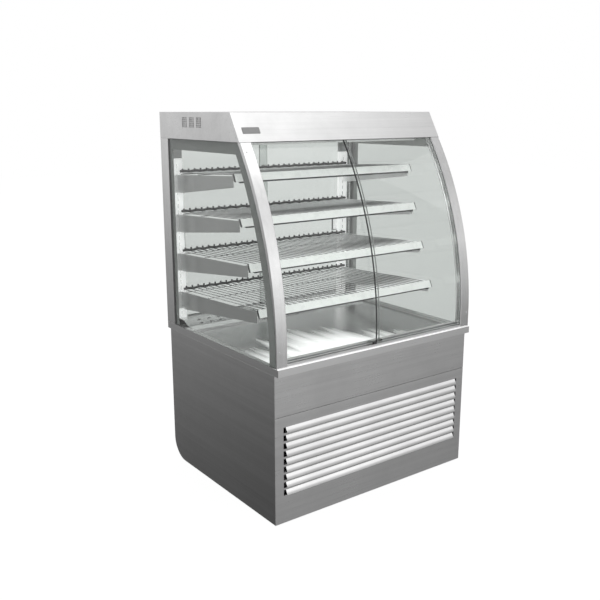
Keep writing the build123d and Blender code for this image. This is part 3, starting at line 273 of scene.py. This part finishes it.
def rim_sheet(name, front, side, upper):
    """Folded rim: brushed along each run, with a painted highlight that glows on the top face along
    the front, and painted shade on the side faces.
    """
    made, t, shader = start_material(name)
    facing = t.facing()
    on_side = t.math("GREATER_THAN", t.math("ABSOLUTE", facing[0]), 0.7)
    in_front = t.math("LESS_THAN", t.split(t.place())[1], FRONT_Y + 0.010)
    # Painted highlight: the top face along the front
    painted_top_mask = t.math("MULTIPLY", t.ranged(facing[2], 0.4, 0.8, 0.0, 1.0), in_front)
    grain_x = t.noise(t.stretched(GRAIN["x"]), scale=1.0, detail=4.0, rough=0.65)
    grain_y = t.noise(t.stretched(GRAIN["y"]), scale=1.0, detail=4.0, rough=0.65)
    marks = t.math("ADD", t.math("MULTIPLY", grain_x, t.math("SUBTRACT", 1.0, on_side)),
                   t.math("MULTIPLY", grain_y, on_side))
    wear = t.ranged(marks, 0.3, 0.7, 0.93, 1.03)
    # Painted shade: side faces take a darker grey than the front faces
    grey = t.grey(t.math("MULTIPLY", wear, t.ranged(on_side, 0.0, 1.0, front, side)))
    t.put(shader.inputs["Base Color"], t.mixed(painted_top_mask, grey, tone(upper)))
    shader.inputs["Metallic"].default_value = 1.0
    t.put(shader.inputs["Roughness"], t.math("ADD", t.math("MULTIPLY", marks, 0.16), 0.22))
    t.put(shader.inputs["Emission Color"], WHITE)
    t.put(shader.inputs["Emission Strength"], t.math("MULTIPLY", painted_top_mask, 0.35))
    t.put(shader.inputs["Normal"], t.bump(marks, 0.04, 0.0003, t.rounded(0.0008)))
    return made


def chrome(name, value, rough, under):
    """Bright plated wire with faint clouding and tiny pits, with painted shade on its underside."""
    made, t, shader = start_material(name)
    cloud = t.noise(t.place(), scale=60.0, detail=4.0, rough=0.6)
    pits = t.noise(t.place(), scale=900.0, detail=2.0, rough=0.5)
    # Painted shade: faces turned downward take the colour scaled by under
    above = t.ranged(t.facing("Normal")[2], -0.10, 0.35, 0.0, 1.0, "SMOOTHSTEP")
    bright = t.mixed(cloud, tone(value * 0.90), tone(value, (1.0, 1.0, 1.01)))
    t.put(shader.inputs["Base Color"], t.mixed(above, tone(value * under), bright))
    shader.inputs["Metallic"].default_value = 1.0
    t.put(shader.inputs["Roughness"], t.ranged(cloud, 0.3, 0.7, rough, rough + 0.12))
    t.put(shader.inputs["Normal"], t.bump(pits, 0.05, 0.0002))
    return made


def glass(name, face, edge, far=None):
    """Clear toughened glass: faint green in the face, deeper along the ground edges.

    Panes of the right-hand side take a darker colour, painted shade, if one is given. Shadow
    and diffuse rays pass straight through, so that the inside is lit.
    """
    made, t, shader = start_material(name)
    at = t.split(t.place())
    on_side = t.math("GREATER_THAN", t.math("ABSOLUTE", at[0]), SIDE_X - 0.012)
    sideways = t.math("GREATER_THAN", t.math("ABSOLUTE", t.facing()[0]), 0.7)
    is_edge = t.math("MULTIPLY", sideways, t.math("SUBTRACT", 1.0, on_side))
    haze = t.noise(t.place(), scale=7.0, detail=5.0, rough=0.65)
    face_colour = t.mixed(haze, face, tuple(min(c * 1.02, 1) for c in face))
    # Painted shade: the panes on the right take the darker colour
    if far:
        face_colour = t.mixed(t.math("GREATER_THAN", at[0], 0.0), face_colour, far)
    t.put(shader.inputs["Base Color"], t.mixed(is_edge, face_colour, edge))
    t.put(shader.inputs["Roughness"], t.math("ADD", t.math("MULTIPLY", is_edge, 0.25),
                                             t.ranged(haze, 0.35, 0.75, 0.0, 0.035)))
    shader.inputs["Transmission Weight"].default_value = 1.0
    shader.inputs["IOR"].default_value = 1.36
    path = t.node("ShaderNodeLightPath")
    through = t.math("MAXIMUM", path.outputs["Is Shadow Ray"], path.outputs["Is Diffuse Ray"])
    clear = t.node("ShaderNodeBsdfTransparent", {"Color": (0.93, 0.95, 0.94)})
    mix = t.node("ShaderNodeMixShader", {0: through, 1: shader.outputs[0], 2: clear.outputs[0]})
    t.put(made.node_tree.nodes["Material Output"].inputs["Surface"], mix.outputs[0])
    return made


def enamel(name, value, rough, tint=WHITE, inner=None):
    """Printed or sprayed coat with a fine orange peel, in another grey on its inward face."""
    made, t, shader = start_material(name)
    peel = t.noise(t.place(), scale=350.0, detail=3.0, rough=0.5)
    cloud = t.noise(t.place(), scale=9.0, detail=4.0, rough=0.6)
    outer = t.mixed(cloud, tone(value * 0.88, tint), tone(value * 1.08, tint))
    outward = t.math("MULTIPLY", t.facing()[0], t.split(t.place())[0])
    inward = t.math("LESS_THAN", outward, -0.1)
    t.put(shader.inputs["Base Color"], t.mixed(inward, outer, tone(inner or value, tint)))
    t.put(shader.inputs["Roughness"], t.ranged(cloud, 0.3, 0.7, rough - 0.05, rough + 0.08))
    t.put(shader.inputs["Normal"], t.bump(peel, 0.08, 0.0003, t.rounded(0.0004)))
    return made


def plastic(name, value, rough, tint=WHITE, scale=1400.0, bump=0.12, glow=0.0):
    """Moulded plastic, or a powder coat, with a fine grain and rubbed edges."""
    made, t, shader = start_material(name)
    cells = t.node("ShaderNodeTexVoronoi", {"Vector": t.place(), "Scale": scale})
    cloud = t.noise(t.place(), scale=22.0, detail=4.0, rough=0.6)
    light = t.mixed(cloud, tone(value * 0.86, tint), tone(min(value * 1.12, 1), tint))
    t.put(shader.inputs["Base Color"], light)
    t.put(shader.inputs["Roughness"], t.ranged(cloud, 0.3, 0.7, rough - 0.06, rough + 0.08))
    grain = t.bump(cells.outputs["Distance"], bump, 0.0002, t.rounded(0.0006))
    t.put(shader.inputs["Normal"], grain)
    shader.inputs["Specular IOR Level"].default_value = 0.45
    # Painted light: with glow, the part shines in its own colour though it is no lamp
    if glow:
        t.put(shader.inputs["Emission Color"], light)
        shader.inputs["Emission Strength"].default_value = glow
    return made


def diffuser(name, value, glow):
    """Frosted lamp cover with a fine prismatic rib."""
    made, t, shader = start_material(name)
    ribs = t.math("SINE", t.math("MULTIPLY", t.split(t.place())[0], 2400.0))
    cloud = t.noise(t.place(), scale=14.0, detail=3.0, rough=0.5)
    colour = t.mixed(cloud, tone(value * 0.94, (1, 1, 0.98)), tone(value))
    t.put(shader.inputs["Base Color"], colour)
    t.put(shader.inputs["Emission Color"], colour)
    shader.inputs["Emission Strength"].default_value = glow
    shader.inputs["Roughness"].default_value = 0.4
    t.put(shader.inputs["Normal"], t.bump(ribs, 0.2, 0.0003))
    return made


def galvanised(name, value):
    """Zinc-coated sheet with its spangle."""
    made, t, shader = start_material(name)
    cells = t.node("ShaderNodeTexVoronoi", {"Vector": t.place(), "Scale": 110.0})
    cell = t.split(cells.outputs["Color"])[0]
    fine = t.noise(t.place(), scale=600.0, detail=3.0, rough=0.5)
    spangle = t.mixed(cell, tone(value * 0.78), tone(value * 1.12, (0.98, 1, 1.02)))
    t.put(shader.inputs["Base Color"], spangle)
    shader.inputs["Metallic"].default_value = 0.9
    t.put(shader.inputs["Roughness"], t.ranged(cell, 0, 1, 0.42, 0.62))
    t.put(shader.inputs["Normal"], t.bump(fine, 0.06, 0.0003, t.rounded(0.0006)))
    return made


def foam(name, value):
    """Smooth liner over foam, with a faint moulded stipple."""
    made, t, shader = start_material(name)
    stipple = t.noise(t.place(), scale=420.0, detail=3.0, rough=0.55)
    cloud = t.noise(t.place(), scale=6.0, detail=3.0, rough=0.5)
    t.put(shader.inputs["Base Color"], t.mixed(cloud, tone(value * 0.9), tone(value, (1, 1, 0.98))))
    t.put(shader.inputs["Roughness"], t.ranged(stipple, 0.3, 0.7, 0.5, 0.65))
    t.put(shader.inputs["Normal"], t.bump(stipple, 0.15, 0.0004))
    return made


MATERIALS = {}


def finish(maker, name, **looks):
    MATERIALS[name] = maker(name, **looks)


finish(steel, "brushed_stainless", value=0.70, rough=0.30)
finish(steel, "bright_stainless", value=0.72, rough=0.20, streak=0.06, cloud=0.06)
# Side sheets: the same brushed stainless painted darker, as shade, with the grain along Y
finish(steel, "brushed_side", value=0.60, rough=0.32, along="y")
finish(steel, "brushed_upright", value=0.72, rough=0.22, along="z", bump=0.03)
finish(steel, "louvre_steel", value=0.70, rough=0.30, gradient=louvre_painted_light)
finish(steel, "bracket_steel", value=0.52, rough=0.45, along="y", streak=0.06,
       gradient=bright_right)
# Top track: darker steel, made paler towards the right by painted light
finish(steel, "dull_track", value=0.34, rough=0.34, streak=0.08, cloud=0.05, edge=0.0005,
       gradient=paler_right)
finish(steel, "anodised_aluminium", value=0.84, rough=0.32, streak=0.08, cloud=0.05, bump=0.03,
       edge=0.0005)
finish(steel, "coil_fins", value=0.62, rough=0.38, along="z", streak=0.12, edge=0.0003)
finish(deck_sheet, "deck_steel")
finish(rim_sheet, "rim_steel", front=0.78, side=0.60, upper=0.95)
finish(galvanised, "galvanised_sheet", value=0.42)
finish(chrome, "chromed_wire", value=0.98, rough=0.3, under=0.10)
# The rear rails and their caps: the chrome painted dark, as shade
finish(chrome, "dark_wire", value=0.10, rough=0.3, under=0.5)
finish(glass, "clear_glass", face=(0.925, 0.94, 0.93), edge=(0.30, 0.38, 0.35))
finish(glass, "side_pane", face=(0.90, 0.915, 0.905), edge=(0.25, 0.33, 0.30),
       far=(0.60, 0.625, 0.61))
finish(glass, "rear_pane", face=(0.66, 0.685, 0.67), edge=(0.22, 0.32, 0.28))
finish(enamel, "dark_enamel", value=0.19, rough=0.5, tint=(1.0, 1.02, 1.0), inner=0.50)
finish(enamel, "compressor_paint", value=0.03, rough=0.38)
# Uprights: white plastic with a painted glow that brightens them
finish(plastic, "slotted_upright", value=0.97, rough=0.35, scale=300, bump=0.04, glow=0.50)
finish(plastic, "white_strip", value=0.92, rough=0.28, tint=(1, 1, 0.99), bump=0.03)
finish(plastic, "black_plastic", value=0.022, rough=0.42)
finish(plastic, "grey_plastic", value=0.20, rough=0.45)
finish(plastic, "gasket", value=0.05, rough=0.6, bump=0.2)
finish(plastic, "pale_gasket", value=0.46, rough=0.55, bump=0.2)
finish(plastic, "door_bead", value=0.24, rough=0.5, bump=0.1)
finish(diffuser, "lamp_diffuser", value=0.74, glow=0.12)
finish(foam, "foam_liner", value=0.72)

# Nodes that look different from the plain finish of their slot
OWN_LOOKS = {
    "base_side_left": "brushed_side",
    "base_side_right": "brushed_side",
    "end_frame_left": "brushed_upright",
    "end_frame_right": "brushed_upright",
    "rear_posts": "brushed_upright",
    "uprights": "slotted_upright",
    "upright_heads": "pale_gasket",
    "shelf_brackets": "bracket_steel",
    "front_track_top": "dull_track",
    "deck_floor": "deck_steel",
    "worktop_rim": "rim_steel",
    "louvre_panel": "louvre_steel",
    "side_glass": "side_pane",
    "rear_door_left": "rear_pane",
    "rear_door_right": "rear_pane",
}

for entry in frame["record"]["subparts"]:
    look = OWN_LOOKS.get(entry["node"], entry["material_slot"])
    for place in nodes[entry["node"]].material_slots:
        place.material = MATERIALS[look]


def add_object(name, mesh, look, body="cabinet"):
    made = bpy.data.objects.new(name, mesh)
    scene.collection.objects.link(made)
    mesh.materials.append(MATERIALS[look])
    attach(made, body)
    return made


def finished_mesh(name, bm):
    bmesh.ops.recalc_face_normals(bm, faces=bm.faces)
    mesh = bpy.data.meshes.new(name)
    bm.to_mesh(mesh)
    bm.free()
    return mesh


def across_axis(axis):
    """A unit vector at right angles to this one."""
    guess = Vector((0, 0, 1)) if abs(axis.z) < 0.9 else Vector((1, 0, 0))
    return (guess - axis * guess.dot(axis)).normalized()


def ring_of(bm, centre, u, v, radius, sides):
    """A ring of vertices about a point, in the plane of u and v."""
    ring = []
    for k in range(sides):
        a = 2 * math.pi * k / sides
        ring.append(bm.verts.new(centre + u * math.cos(a) * radius + v * math.sin(a) * radius))
    return ring


def tube(bm, points, radius, sides=8):
    """A round wire through these points, swept without twist, with flat ends."""
    points = [Vector(p) for p in points]
    last = len(points) - 1
    rings = []
    up = None
    for index, point in enumerate(points):
        forward = (points[min(index + 1, last)] - points[max(index - 1, 0)]).normalized()
        if up is None:
            up = across_axis(forward)
        else:
            up = (up - forward * up.dot(forward)).normalized()
        rings.append(ring_of(bm, point, up, forward.cross(up), radius, sides))
    for first, second in zip(rings, rings[1:]):
        for k in range(sides):
            after = (k + 1) % sides
            face = bm.faces.new((first[k], second[k], second[after], first[after]))
            face.smooth = True
    bm.faces.new(rings[0])
    bm.faces.new(list(reversed(rings[-1])))


def loft(bm, sections):
    """A closed solid through matching outlines, with its ends filled."""
    rings = [[bm.verts.new(p) for p in section] for section in sections]
    sides = len(rings[0])
    for first, second in zip(rings, rings[1:]):
        for k in range(sides):
            after = (k + 1) % sides
            bm.faces.new((first[k], first[after], second[after], second[k]))
    bm.faces.new(list(reversed(rings[0])))
    bm.faces.new(rings[-1])


def bar_along_x(bm, xs, outline):
    """A straight bar along X with this outline in Y and Z."""
    loft(bm, [[(x, y, z) for y, z in outline] for x in sorted(xs)])


CURVE_STEPS = 40


def strip_on_curve(bm, xs, depths, heights):
    """A flat strip that follows the front curve, between two depths behind its face."""
    x0, x1 = xs
    z0, z1 = heights
    sections = []
    for k in range(CURVE_STEPS + 1):
        z = z0 + (z1 - z0) * k / CURVE_STEPS
        outer, inner = (curve_point(z) - curve_normal(z) * depth for depth in depths)
        sections.append([(x0, outer.y, outer.z), (x1, outer.y, outer.z),
                         (x1, inner.y, inner.z), (x0, inner.y, inner.z)])
    loft(bm, sections)


# Shelves of round wire. Each stands for one of the plain racks.
WIRE_RADIUS = 0.0021
CROSS_WIRE_RADIUS = 0.0019
CROSS_WIRE_DROP = 0.0057
CROSS_WIRE_SHARES = (0.026, 0.62, 0.94)
END_MARGIN = 0.004
WIRE_FRONT = 0.0006
# The upturned rear ends: distances from the rear edge, and how far up the wire is there
WIRE_BEND = ((0.0080, 0.0), (0.0040, 0.0008), (0.0022, 0.0035))
WIRE_TIP = (0.0019, 0.0092)
RAIL_RADIUS = 0.0050
RAIL_WAVE = 0.0014
RAIL_FROM_REAR = 0.0115
RAIL_HEIGHT = 0.0044
RAIL_MARGIN = 0.002
RAIL_STEPS = 6
CAP_RADIUS = 0.0038
CAP_FROM_REAR = 0.0045
CAP_HEIGHTS = (0.0040, 0.0138)


def wire_shelf(index):
    """Long wires that turn up at the back, cross wires, and a wavy rail with caps on the ends."""
    low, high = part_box("shelf_rack_%d" % (index + 1))
    half = high.x - 0.0005
    length = (high.y - low.y - 0.0004) / math.cos(SHELF_TILT)
    turn = Matrix.Translation((0, low.y, high.z)) @ Matrix.Rotation(-SHELF_TILT, 4, "X")
    count = int(2 * (half - END_MARGIN) / WIRE_PITCH) + 1
    start = -(count - 1) / 2 * WIRE_PITCH
    columns = [start + k * WIRE_PITCH for k in range(count)]

    bm = bmesh.new()
    level = -WIRE_RADIUS
    for x in columns:
        line = [(x, WIRE_FRONT, level), (x, length * 0.5, level)]
        line += [(x, length - back, level + rise) for back, rise in WIRE_BEND]
        line.append((x, length - WIRE_TIP[0], WIRE_TIP[1]))
        tube(bm, [turn @ Vector(p) for p in line], WIRE_RADIUS)
    for share in CROSS_WIRE_SHARES:
        line = [(x, length * share, -CROSS_WIRE_DROP) for x in (-half, 0, half)]
        tube(bm, [turn @ Vector(p) for p in line], CROSS_WIRE_RADIUS)
    shelf_mesh = finished_mesh("wire_shelf", bm)
    made = add_object("wire_shelf_%d" % (index + 1), shelf_mesh, "chromed_wire")

    bm = bmesh.new()
    rail_end = half - RAIL_MARGIN
    steps = RAIL_STEPS * count
    wave = []
    for k in range(steps + 1):
        x = -rail_end + 2 * rail_end * k / steps
        lift = math.cos(math.pi * (x - start) / WIRE_PITCH)
        wave.append(turn @ Vector((x, length - RAIL_FROM_REAR, RAIL_HEIGHT + RAIL_WAVE * lift)))
    tube(bm, wave, RAIL_RADIUS, 6)
    for x in columns:
        cap = [(x, length - CAP_FROM_REAR, z) for z in CAP_HEIGHTS]
        tube(bm, [turn @ Vector(p) for p in cap], CAP_RADIUS, 6)
    # The rail and the caps take the chrome painted dark, as shade
    add_object("wire_rail_%d" % (index + 1), finished_mesh("wire_rail", bm), "dark_wire")
    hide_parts("shelf_rack_%d" % (index + 1))


for index in range(SHELF_COUNT):
    wire_shelf(index)


STRIP_HEIGHTS = (RIM_TOP + 0.012, GLASS_TOP - 0.004)
STRIP_REACH = 0.0004


def frame_strips(name, stands_out, depths, look):
    """A thin strip down the inner face of both end frames, behind the face of the curve."""
    bm = bmesh.new()
    for side in (-1, 1):
        xs = (side * (FRAME_INNER - stands_out), side * (FRAME_INNER + STRIP_REACH))
        strip_on_curve(bm, xs, depths, STRIP_HEIGHTS)
    add_object(name, finished_mesh(name, bm), look)


frame_strips("front_seals", 0.0016, (0.0012, 0.0036), "pale_gasket")
frame_strips("channel_lips", 0.0018, (0.0258, 0.0290), "anodised_aluminium")


def door_edge_trim(door, side, depth, look):
    """A trim over the edge of a front door, at the depth of its glass, where the doors overlap."""
    glass_thickness = 0.005
    lip = 0.0004
    low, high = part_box(door)
    edge = low.x if side < 0 else high.x
    xs = sorted((edge - side * 0.0014, edge + side * 0.0003))
    bm = bmesh.new()
    depths = (depth - lip, depth + glass_thickness + lip)
    strip_on_curve(bm, xs, depths, (low.z + 0.004, high.z - 0.006))
    add_object(door + "_edge_trim", finished_mesh("edge_trim", bm), look, door)


OUTER_DOOR_DEPTH = 0.0055
INNER_DOOR_DEPTH = 0.0195
door_edge_trim("front_door_right", -1, OUTER_DOOR_DEPTH, "gasket")
door_edge_trim("front_door_left", 1, INNER_DOOR_DEPTH, "door_bead")


def post_seal(hand, side, look):
    """The seal between a side pane and its rear post, with a small bevel on the right one."""
    width = 0.0105
    bevel = 0.001
    post_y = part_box("rear_posts")[0].y
    front_y = post_y - width
    x0, x1 = sorted((side * (SIDE_X - 0.0075), side * (SIDE_X - 0.0004)))
    corner_x = x1 - bevel if side > 0 else x1
    outline = [(x0, front_y), (corner_x, front_y), (x1, front_y + bevel), (x1, post_y),
               (x0, post_y)]
    heights = (RIM_TOP + 0.001, GLASS_TOP - 0.001)
    bm = bmesh.new()
    loft(bm, [[(x, y, z) for x, y in outline] for z in heights])
    add_object("post_seal_" + hand, finished_mesh("post_seal", bm), look)


post_seal("left", -1, "gasket")
post_seal("right", 1, "pale_gasket")

hood_low, hood_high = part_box("hood_shell")

# Bare plate on the sloping front of the hood
PLATE_X = -0.389
PLATE_RISE = 0.036
PLATE_HALF_WIDTH = 0.0335
PLATE_HALF_HEIGHT = 0.0115
PLATE_CORNER = 0.0025
PLATE_BACK = 0.0002
PLATE_SHOULDER = -0.0007
PLATE_FACE = -0.0011
PLATE_FACE_SHARES = (0.98182, 0.93333)


def plate_outline():
    """A rectangle with rounded corners, corner by corner."""
    across = PLATE_HALF_WIDTH - PLATE_CORNER
    up = PLATE_HALF_HEIGHT - PLATE_CORNER
    corners = ((across, up, 0), (-across, up, 90), (-across, -up, 180), (across, -up, 270))
    points = []
    for x, z, start in corners:
        for k in range(5):
            a = math.radians(start + 22.5 * k)
            points.append((x + PLATE_CORNER * math.cos(a), z + PLATE_CORNER * math.sin(a)))
    return points


def bare_plate():
    slope = HOOD_LEAN / HOOD_HEIGHT
    middle = (PLATE_X, hood_low.y + slope * PLATE_RISE, GLASS_TOP + PLATE_RISE)
    turn = Matrix.Translation(middle) @ Matrix.Rotation(-math.atan(slope), 4, "X")
    layers = ((PLATE_BACK, (1, 1)), (PLATE_SHOULDER, (1, 1)), (PLATE_FACE, PLATE_FACE_SHARES))
    sections = []
    for depth, (wide, high) in layers:
        sections.append([turn @ Vector((x * wide, depth, z * high)) for x, z in plate_outline()])
    bm = bmesh.new()
    loft(bm, sections)
    add_object("bare_plate", finished_mesh("bare_plate", bm), "grey_plastic")


bare_plate()


def hood_dark_strip():
    """A thin dark strip under the front edge of the hood, with its long edges taken off."""
    cut = 0.0004
    half = 0.4465
    y0, y1 = hood_low.y - 0.0010, hood_low.y + 0.0008
    z0, z1 = GLASS_TOP - 0.0022, GLASS_TOP + 0.0003
    outline = [(y0 + cut, z0), (y1 - cut, z0), (y1, z0 + cut), (y1, z1 - cut),
               (y1 - cut, z1), (y0 + cut, z1), (y0, z1 - cut), (y0, z0 + cut)]
    bm = bmesh.new()
    bar_along_x(bm, (-half, half), outline)
    add_object("hood_dark_strip", finished_mesh("hood_dark_strip", bm), "gasket")


hood_dark_strip()


def vent_bars():
    """Five cross bars over each group of pressed vents, on both ends of the hood."""
    half_length = 0.0165
    half_height = 0.0011
    pitch = 0.0062
    bm = bmesh.new()
    for side in (-1, 1):
        xs = (side * (hood_high.x - 0.0003), side * (hood_high.x - 0.0009))
        for group in (-1, 0, 1):
            y0 = VENT_MIDDLE_Y + group * VENT_GROUP_PITCH - half_length
            y1 = y0 + 2 * half_length
            for row in range(-2, 3):
                z0 = VENT_MIDDLE_Z + row * pitch - half_height
                z1 = z0 + 2 * half_height
                bar_along_x(bm, xs, [(y0, z0), (y1, z0), (y1, z1), (y0, z1)])
    add_object("vent_bars", finished_mesh("vent_bars", bm), "brushed_side")


vent_bars()

# Screw heads: radius and height pairs, from the closed underside to the middle of the recess
SCREW = [(0, -0.0008), (0.0033, -0.0008), (0.0035, 0), (0.0034, 0.0008), (0.0029, 0.0015),
         (0.0020, 0.0019), (0.0015, 0.0020), (0.0014, 0.0009), (0, 0.0008)]
SCREW_SIDES = 18


def revolved(bm, profile, centre, axis):
    """A turned piece: radius and height pairs about an axis at a point."""
    axis = Vector(axis).normalized()
    u = across_axis(axis)
    v = axis.cross(u)
    rings = []
    for radius, height in profile:
        middle = Vector(centre) + axis * height
        if radius:
            rings.append(ring_of(bm, middle, u, v, radius, SCREW_SIDES))
        else:
            rings.append([bm.verts.new(middle)])
    for first, second in zip(rings, rings[1:]):
        for k in range(SCREW_SIDES):
            corners = []
            for ring, at in ((first, k), (first, k + 1), (second, k + 1), (second, k)):
                corner = ring[at % len(ring)]
                if corner not in corners:
                    corners.append(corner)
            face = bm.faces.new(corners)
            face.smooth = True


def screws(name, heads, wide=1.0, high=1.0):
    """One object of screw heads, each given by its place and the way it faces."""
    bm = bmesh.new()
    for place, axis in heads:
        revolved(bm, [(r * wide, h * high) for r, h in SCREW], place, axis)
    add_object(name, finished_mesh(name, bm), "bright_stainless")


FRAME_SCREW_X = SIDE_X - 0.012
FRAME_SCREW_HEIGHTS = (RIM_TOP + 0.055, GLASS_TOP - 0.03)
BACK_SCREW_XS = (-0.425, -0.21, 0.21, 0.425)
BACK_SCREW_HEIGHTS = (0.10, 0.50)
HOOD_SCREW_XS = (-0.40, -0.13, 0.13, 0.40)
HOOD_SCREW_Z = OVERALL_HEIGHT - 0.015
BACKWARD = (0, 1, 0)

frame_heads = []
for side in (-1, 1):
    for z in FRAME_SCREW_HEIGHTS:
        place = (side * FRAME_SCREW_X, curve_point(z).y - 0.0001, z)
        frame_heads.append((place, curve_normal(z)))
screws("frame_screws", frame_heads, wide=0.9, high=0.6)

back_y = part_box("base_back")[1].y
back_places = [(x, back_y, z) for x in BACK_SCREW_XS for z in BACK_SCREW_HEIGHTS]
hood_places = [(x, hood_high.y, HOOD_SCREW_Z) for x in HOOD_SCREW_XS]
screws("back_screws", [(place, BACKWARD) for place in back_places])
screws("hood_screws", [(place, BACKWARD) for place in hood_places])


# Studio floor
def paper(name):
    """White paper that shows nearly as bright as the wall to the camera, and takes soft shadows."""
    made, t, shader = start_material(name)
    grain = t.noise(t.place(), scale=40.0, detail=4.0, rough=0.5)
    t.put(shader.inputs["Base Color"], t.mixed(grain, tone(0.90), tone(0.92)))
    shader.inputs["Roughness"].default_value = 0.9
    shader.inputs["Specular IOR Level"].default_value = 0.1
    path = t.node("ShaderNodeLightPath").outputs
    mirrored = t.math("MAXIMUM", path["Is Glossy Ray"], path["Is Transmission Ray"])
    seen = t.math("MAXIMUM", path["Is Camera Ray"], mirrored)
    glow = t.node("ShaderNodeEmission", {"Color": WHITE, "Strength": 1.04})
    mix = t.node("ShaderNodeMixShader", {
        0: t.math("MULTIPLY", seen, 0.86), 1: shader.outputs[0], 2: glow.outputs[0]})
    t.put(made.node_tree.nodes["Material Output"].inputs["Surface"], mix.outputs[0])
    return made


FLOOR_HALF = 14.0
FLOOR_Z = -0.0005

mesh = bpy.data.meshes.new("floor")
ways = ((-1, -1), (1, -1), (1, 1), (-1, 1))
points = [(x * FLOOR_HALF, y * FLOOR_HALF, FLOOR_Z) for x, y in ways]
mesh.from_pydata(points, [], [(0, 1, 2, 3)])
floor = bpy.data.objects.new("floor", mesh)
scene.collection.objects.link(floor)
mesh.materials.append(paper("floor_paper"))
floor.visible_glossy = False
floor.visible_transmission = False

# Brightness of the walls of the studio, each as pairs of height (-1 is down, 1 is up) and level
SIDE_WALL = [(-0.60, 0.06), (-0.45, 0.08), (-0.31, 0.20), (-0.17, 0.42), (-0.02, 0.84), (0.3, 0.95)]
FRONT_WALL = [(-0.60, 0.32), (-0.42, 0.38), (-0.30, 0.58), (-0.05, 1.05), (0.2, 1.42), (0.7, 0.90)]
BACK_WALL = [(-0.55, 0.42), (-0.25, 0.66), (0.05, 0.60), (0.19, 0.34), (0.268, 0.34), (0.31, 1.2)]
WINDOW = Vector((0.42, -0.42, 0.80)).normalized()
SCATTERED_LIGHT = tone(0.84)


def wall(w, height, stops):
    """Brightness of one wall of the studio, from the height that a ray goes to."""
    made = w.node("ShaderNodeValToRGB", {0: w.ranged(height, -1, 1, 0, 1)})
    ramp = made.color_ramp
    ramp.interpolation = "LINEAR"
    while len(ramp.elements) < len(stops):
        ramp.elements.new(0.5)
    for element, (at, value) in zip(ramp.elements, stops):
        element.position = (at + 1) / 2
        element.color = (value, value, value, 1)
    return made.outputs[0]


def studio(w):
    """What the steel and the glass reflect: a bright front, darker sides and a window above."""
    x, y, z = w.split(w.node("ShaderNodeTexCoord").outputs["Generated"])
    in_front = w.ranged(y, -0.4, 0.2, 1.0, 0.0, "SMOOTHSTEP")
    behind = w.math("MULTIPLY", w.ranged(y, 0.2, 0.5, 0.0, 1.0, "SMOOTHSTEP"),
                    w.ranged(x, 0.1, 0.4, 0.0, 1.0, "SMOOTHSTEP"))
    most = w.ranged(z, -0.20, 0.18, 0.62, 0.48)
    dimming = w.math("MULTIPLY", most, w.ranged(x, 0.57, 0.78, 0.0, 1.0))
    front = w.math("MULTIPLY", wall(w, z, FRONT_WALL), w.math("SUBTRACT", 1.0, dimming))
    sides = w.mixed(behind, wall(w, z, SIDE_WALL), wall(w, z, BACK_WALL))
    near = w.math("ADD", w.math("MULTIPLY", x, WINDOW.x),
                  w.math("ADD", w.math("MULTIPLY", y, WINDOW.y), w.math("MULTIPLY", z, WINDOW.z)))
    window = w.ranged(near, 0.945, 0.99, 0.0, 1.0, "SMOOTHSTEP")
    return w.math("ADD", w.mixed(in_front, sides, front), window)


def light_world():
    """White to the eye and through clear glass, the studio in reflections, grey in soft light."""
    world = bpy.data.worlds.new("studio")
    scene.world = world
    world.use_nodes = True
    w = Tree(world.node_tree)
    path = w.node("ShaderNodeLightPath").outputs
    bounced = w.math("GREATER_THAN", path["Glossy Depth"], 0.5)
    direct = w.math("MULTIPLY", path["Is Transmission Ray"], w.math("SUBTRACT", 1.0, bounced))
    seen = w.math("MAXIMUM", path["Is Camera Ray"], direct)
    scattered = w.math("GREATER_THAN", path["Diffuse Depth"], 0.5)
    soft = w.mixed(scattered, studio(w), SCATTERED_LIGHT)
    background = world.node_tree.nodes["Background"]
    w.put(background.inputs["Color"], w.mixed(seen, soft, WHITE))
    background.inputs["Strength"].default_value = 1.0


light_world()


def softbox(name, place, aim, size, power):
    data = bpy.data.lights.new(name, "AREA")
    data.shape = "RECTANGLE"
    data.size, data.size_y = size
    data.energy = power
    made = bpy.data.objects.new(name, data)
    scene.collection.objects.link(made)
    made.location = place
    made.rotation_euler = (Vector(aim) - Vector(place)).to_track_quat("-Z", "Y").to_euler()
    made.visible_glossy = False


softbox("key_light", place=(-1.6, -2.6, 2.9), aim=(0, 0, 0.7), size=(1.8, 1.8), power=34)
softbox("top_light", place=(0.2, 0.3, 3.4), aim=(0, 0, 0.6), size=(2.4, 1.6), power=30)
softbox("fill_light", place=(2.6, -1.4, 1.8), aim=(0, 0, 0.6), size=(1.2, 2.0), power=10)
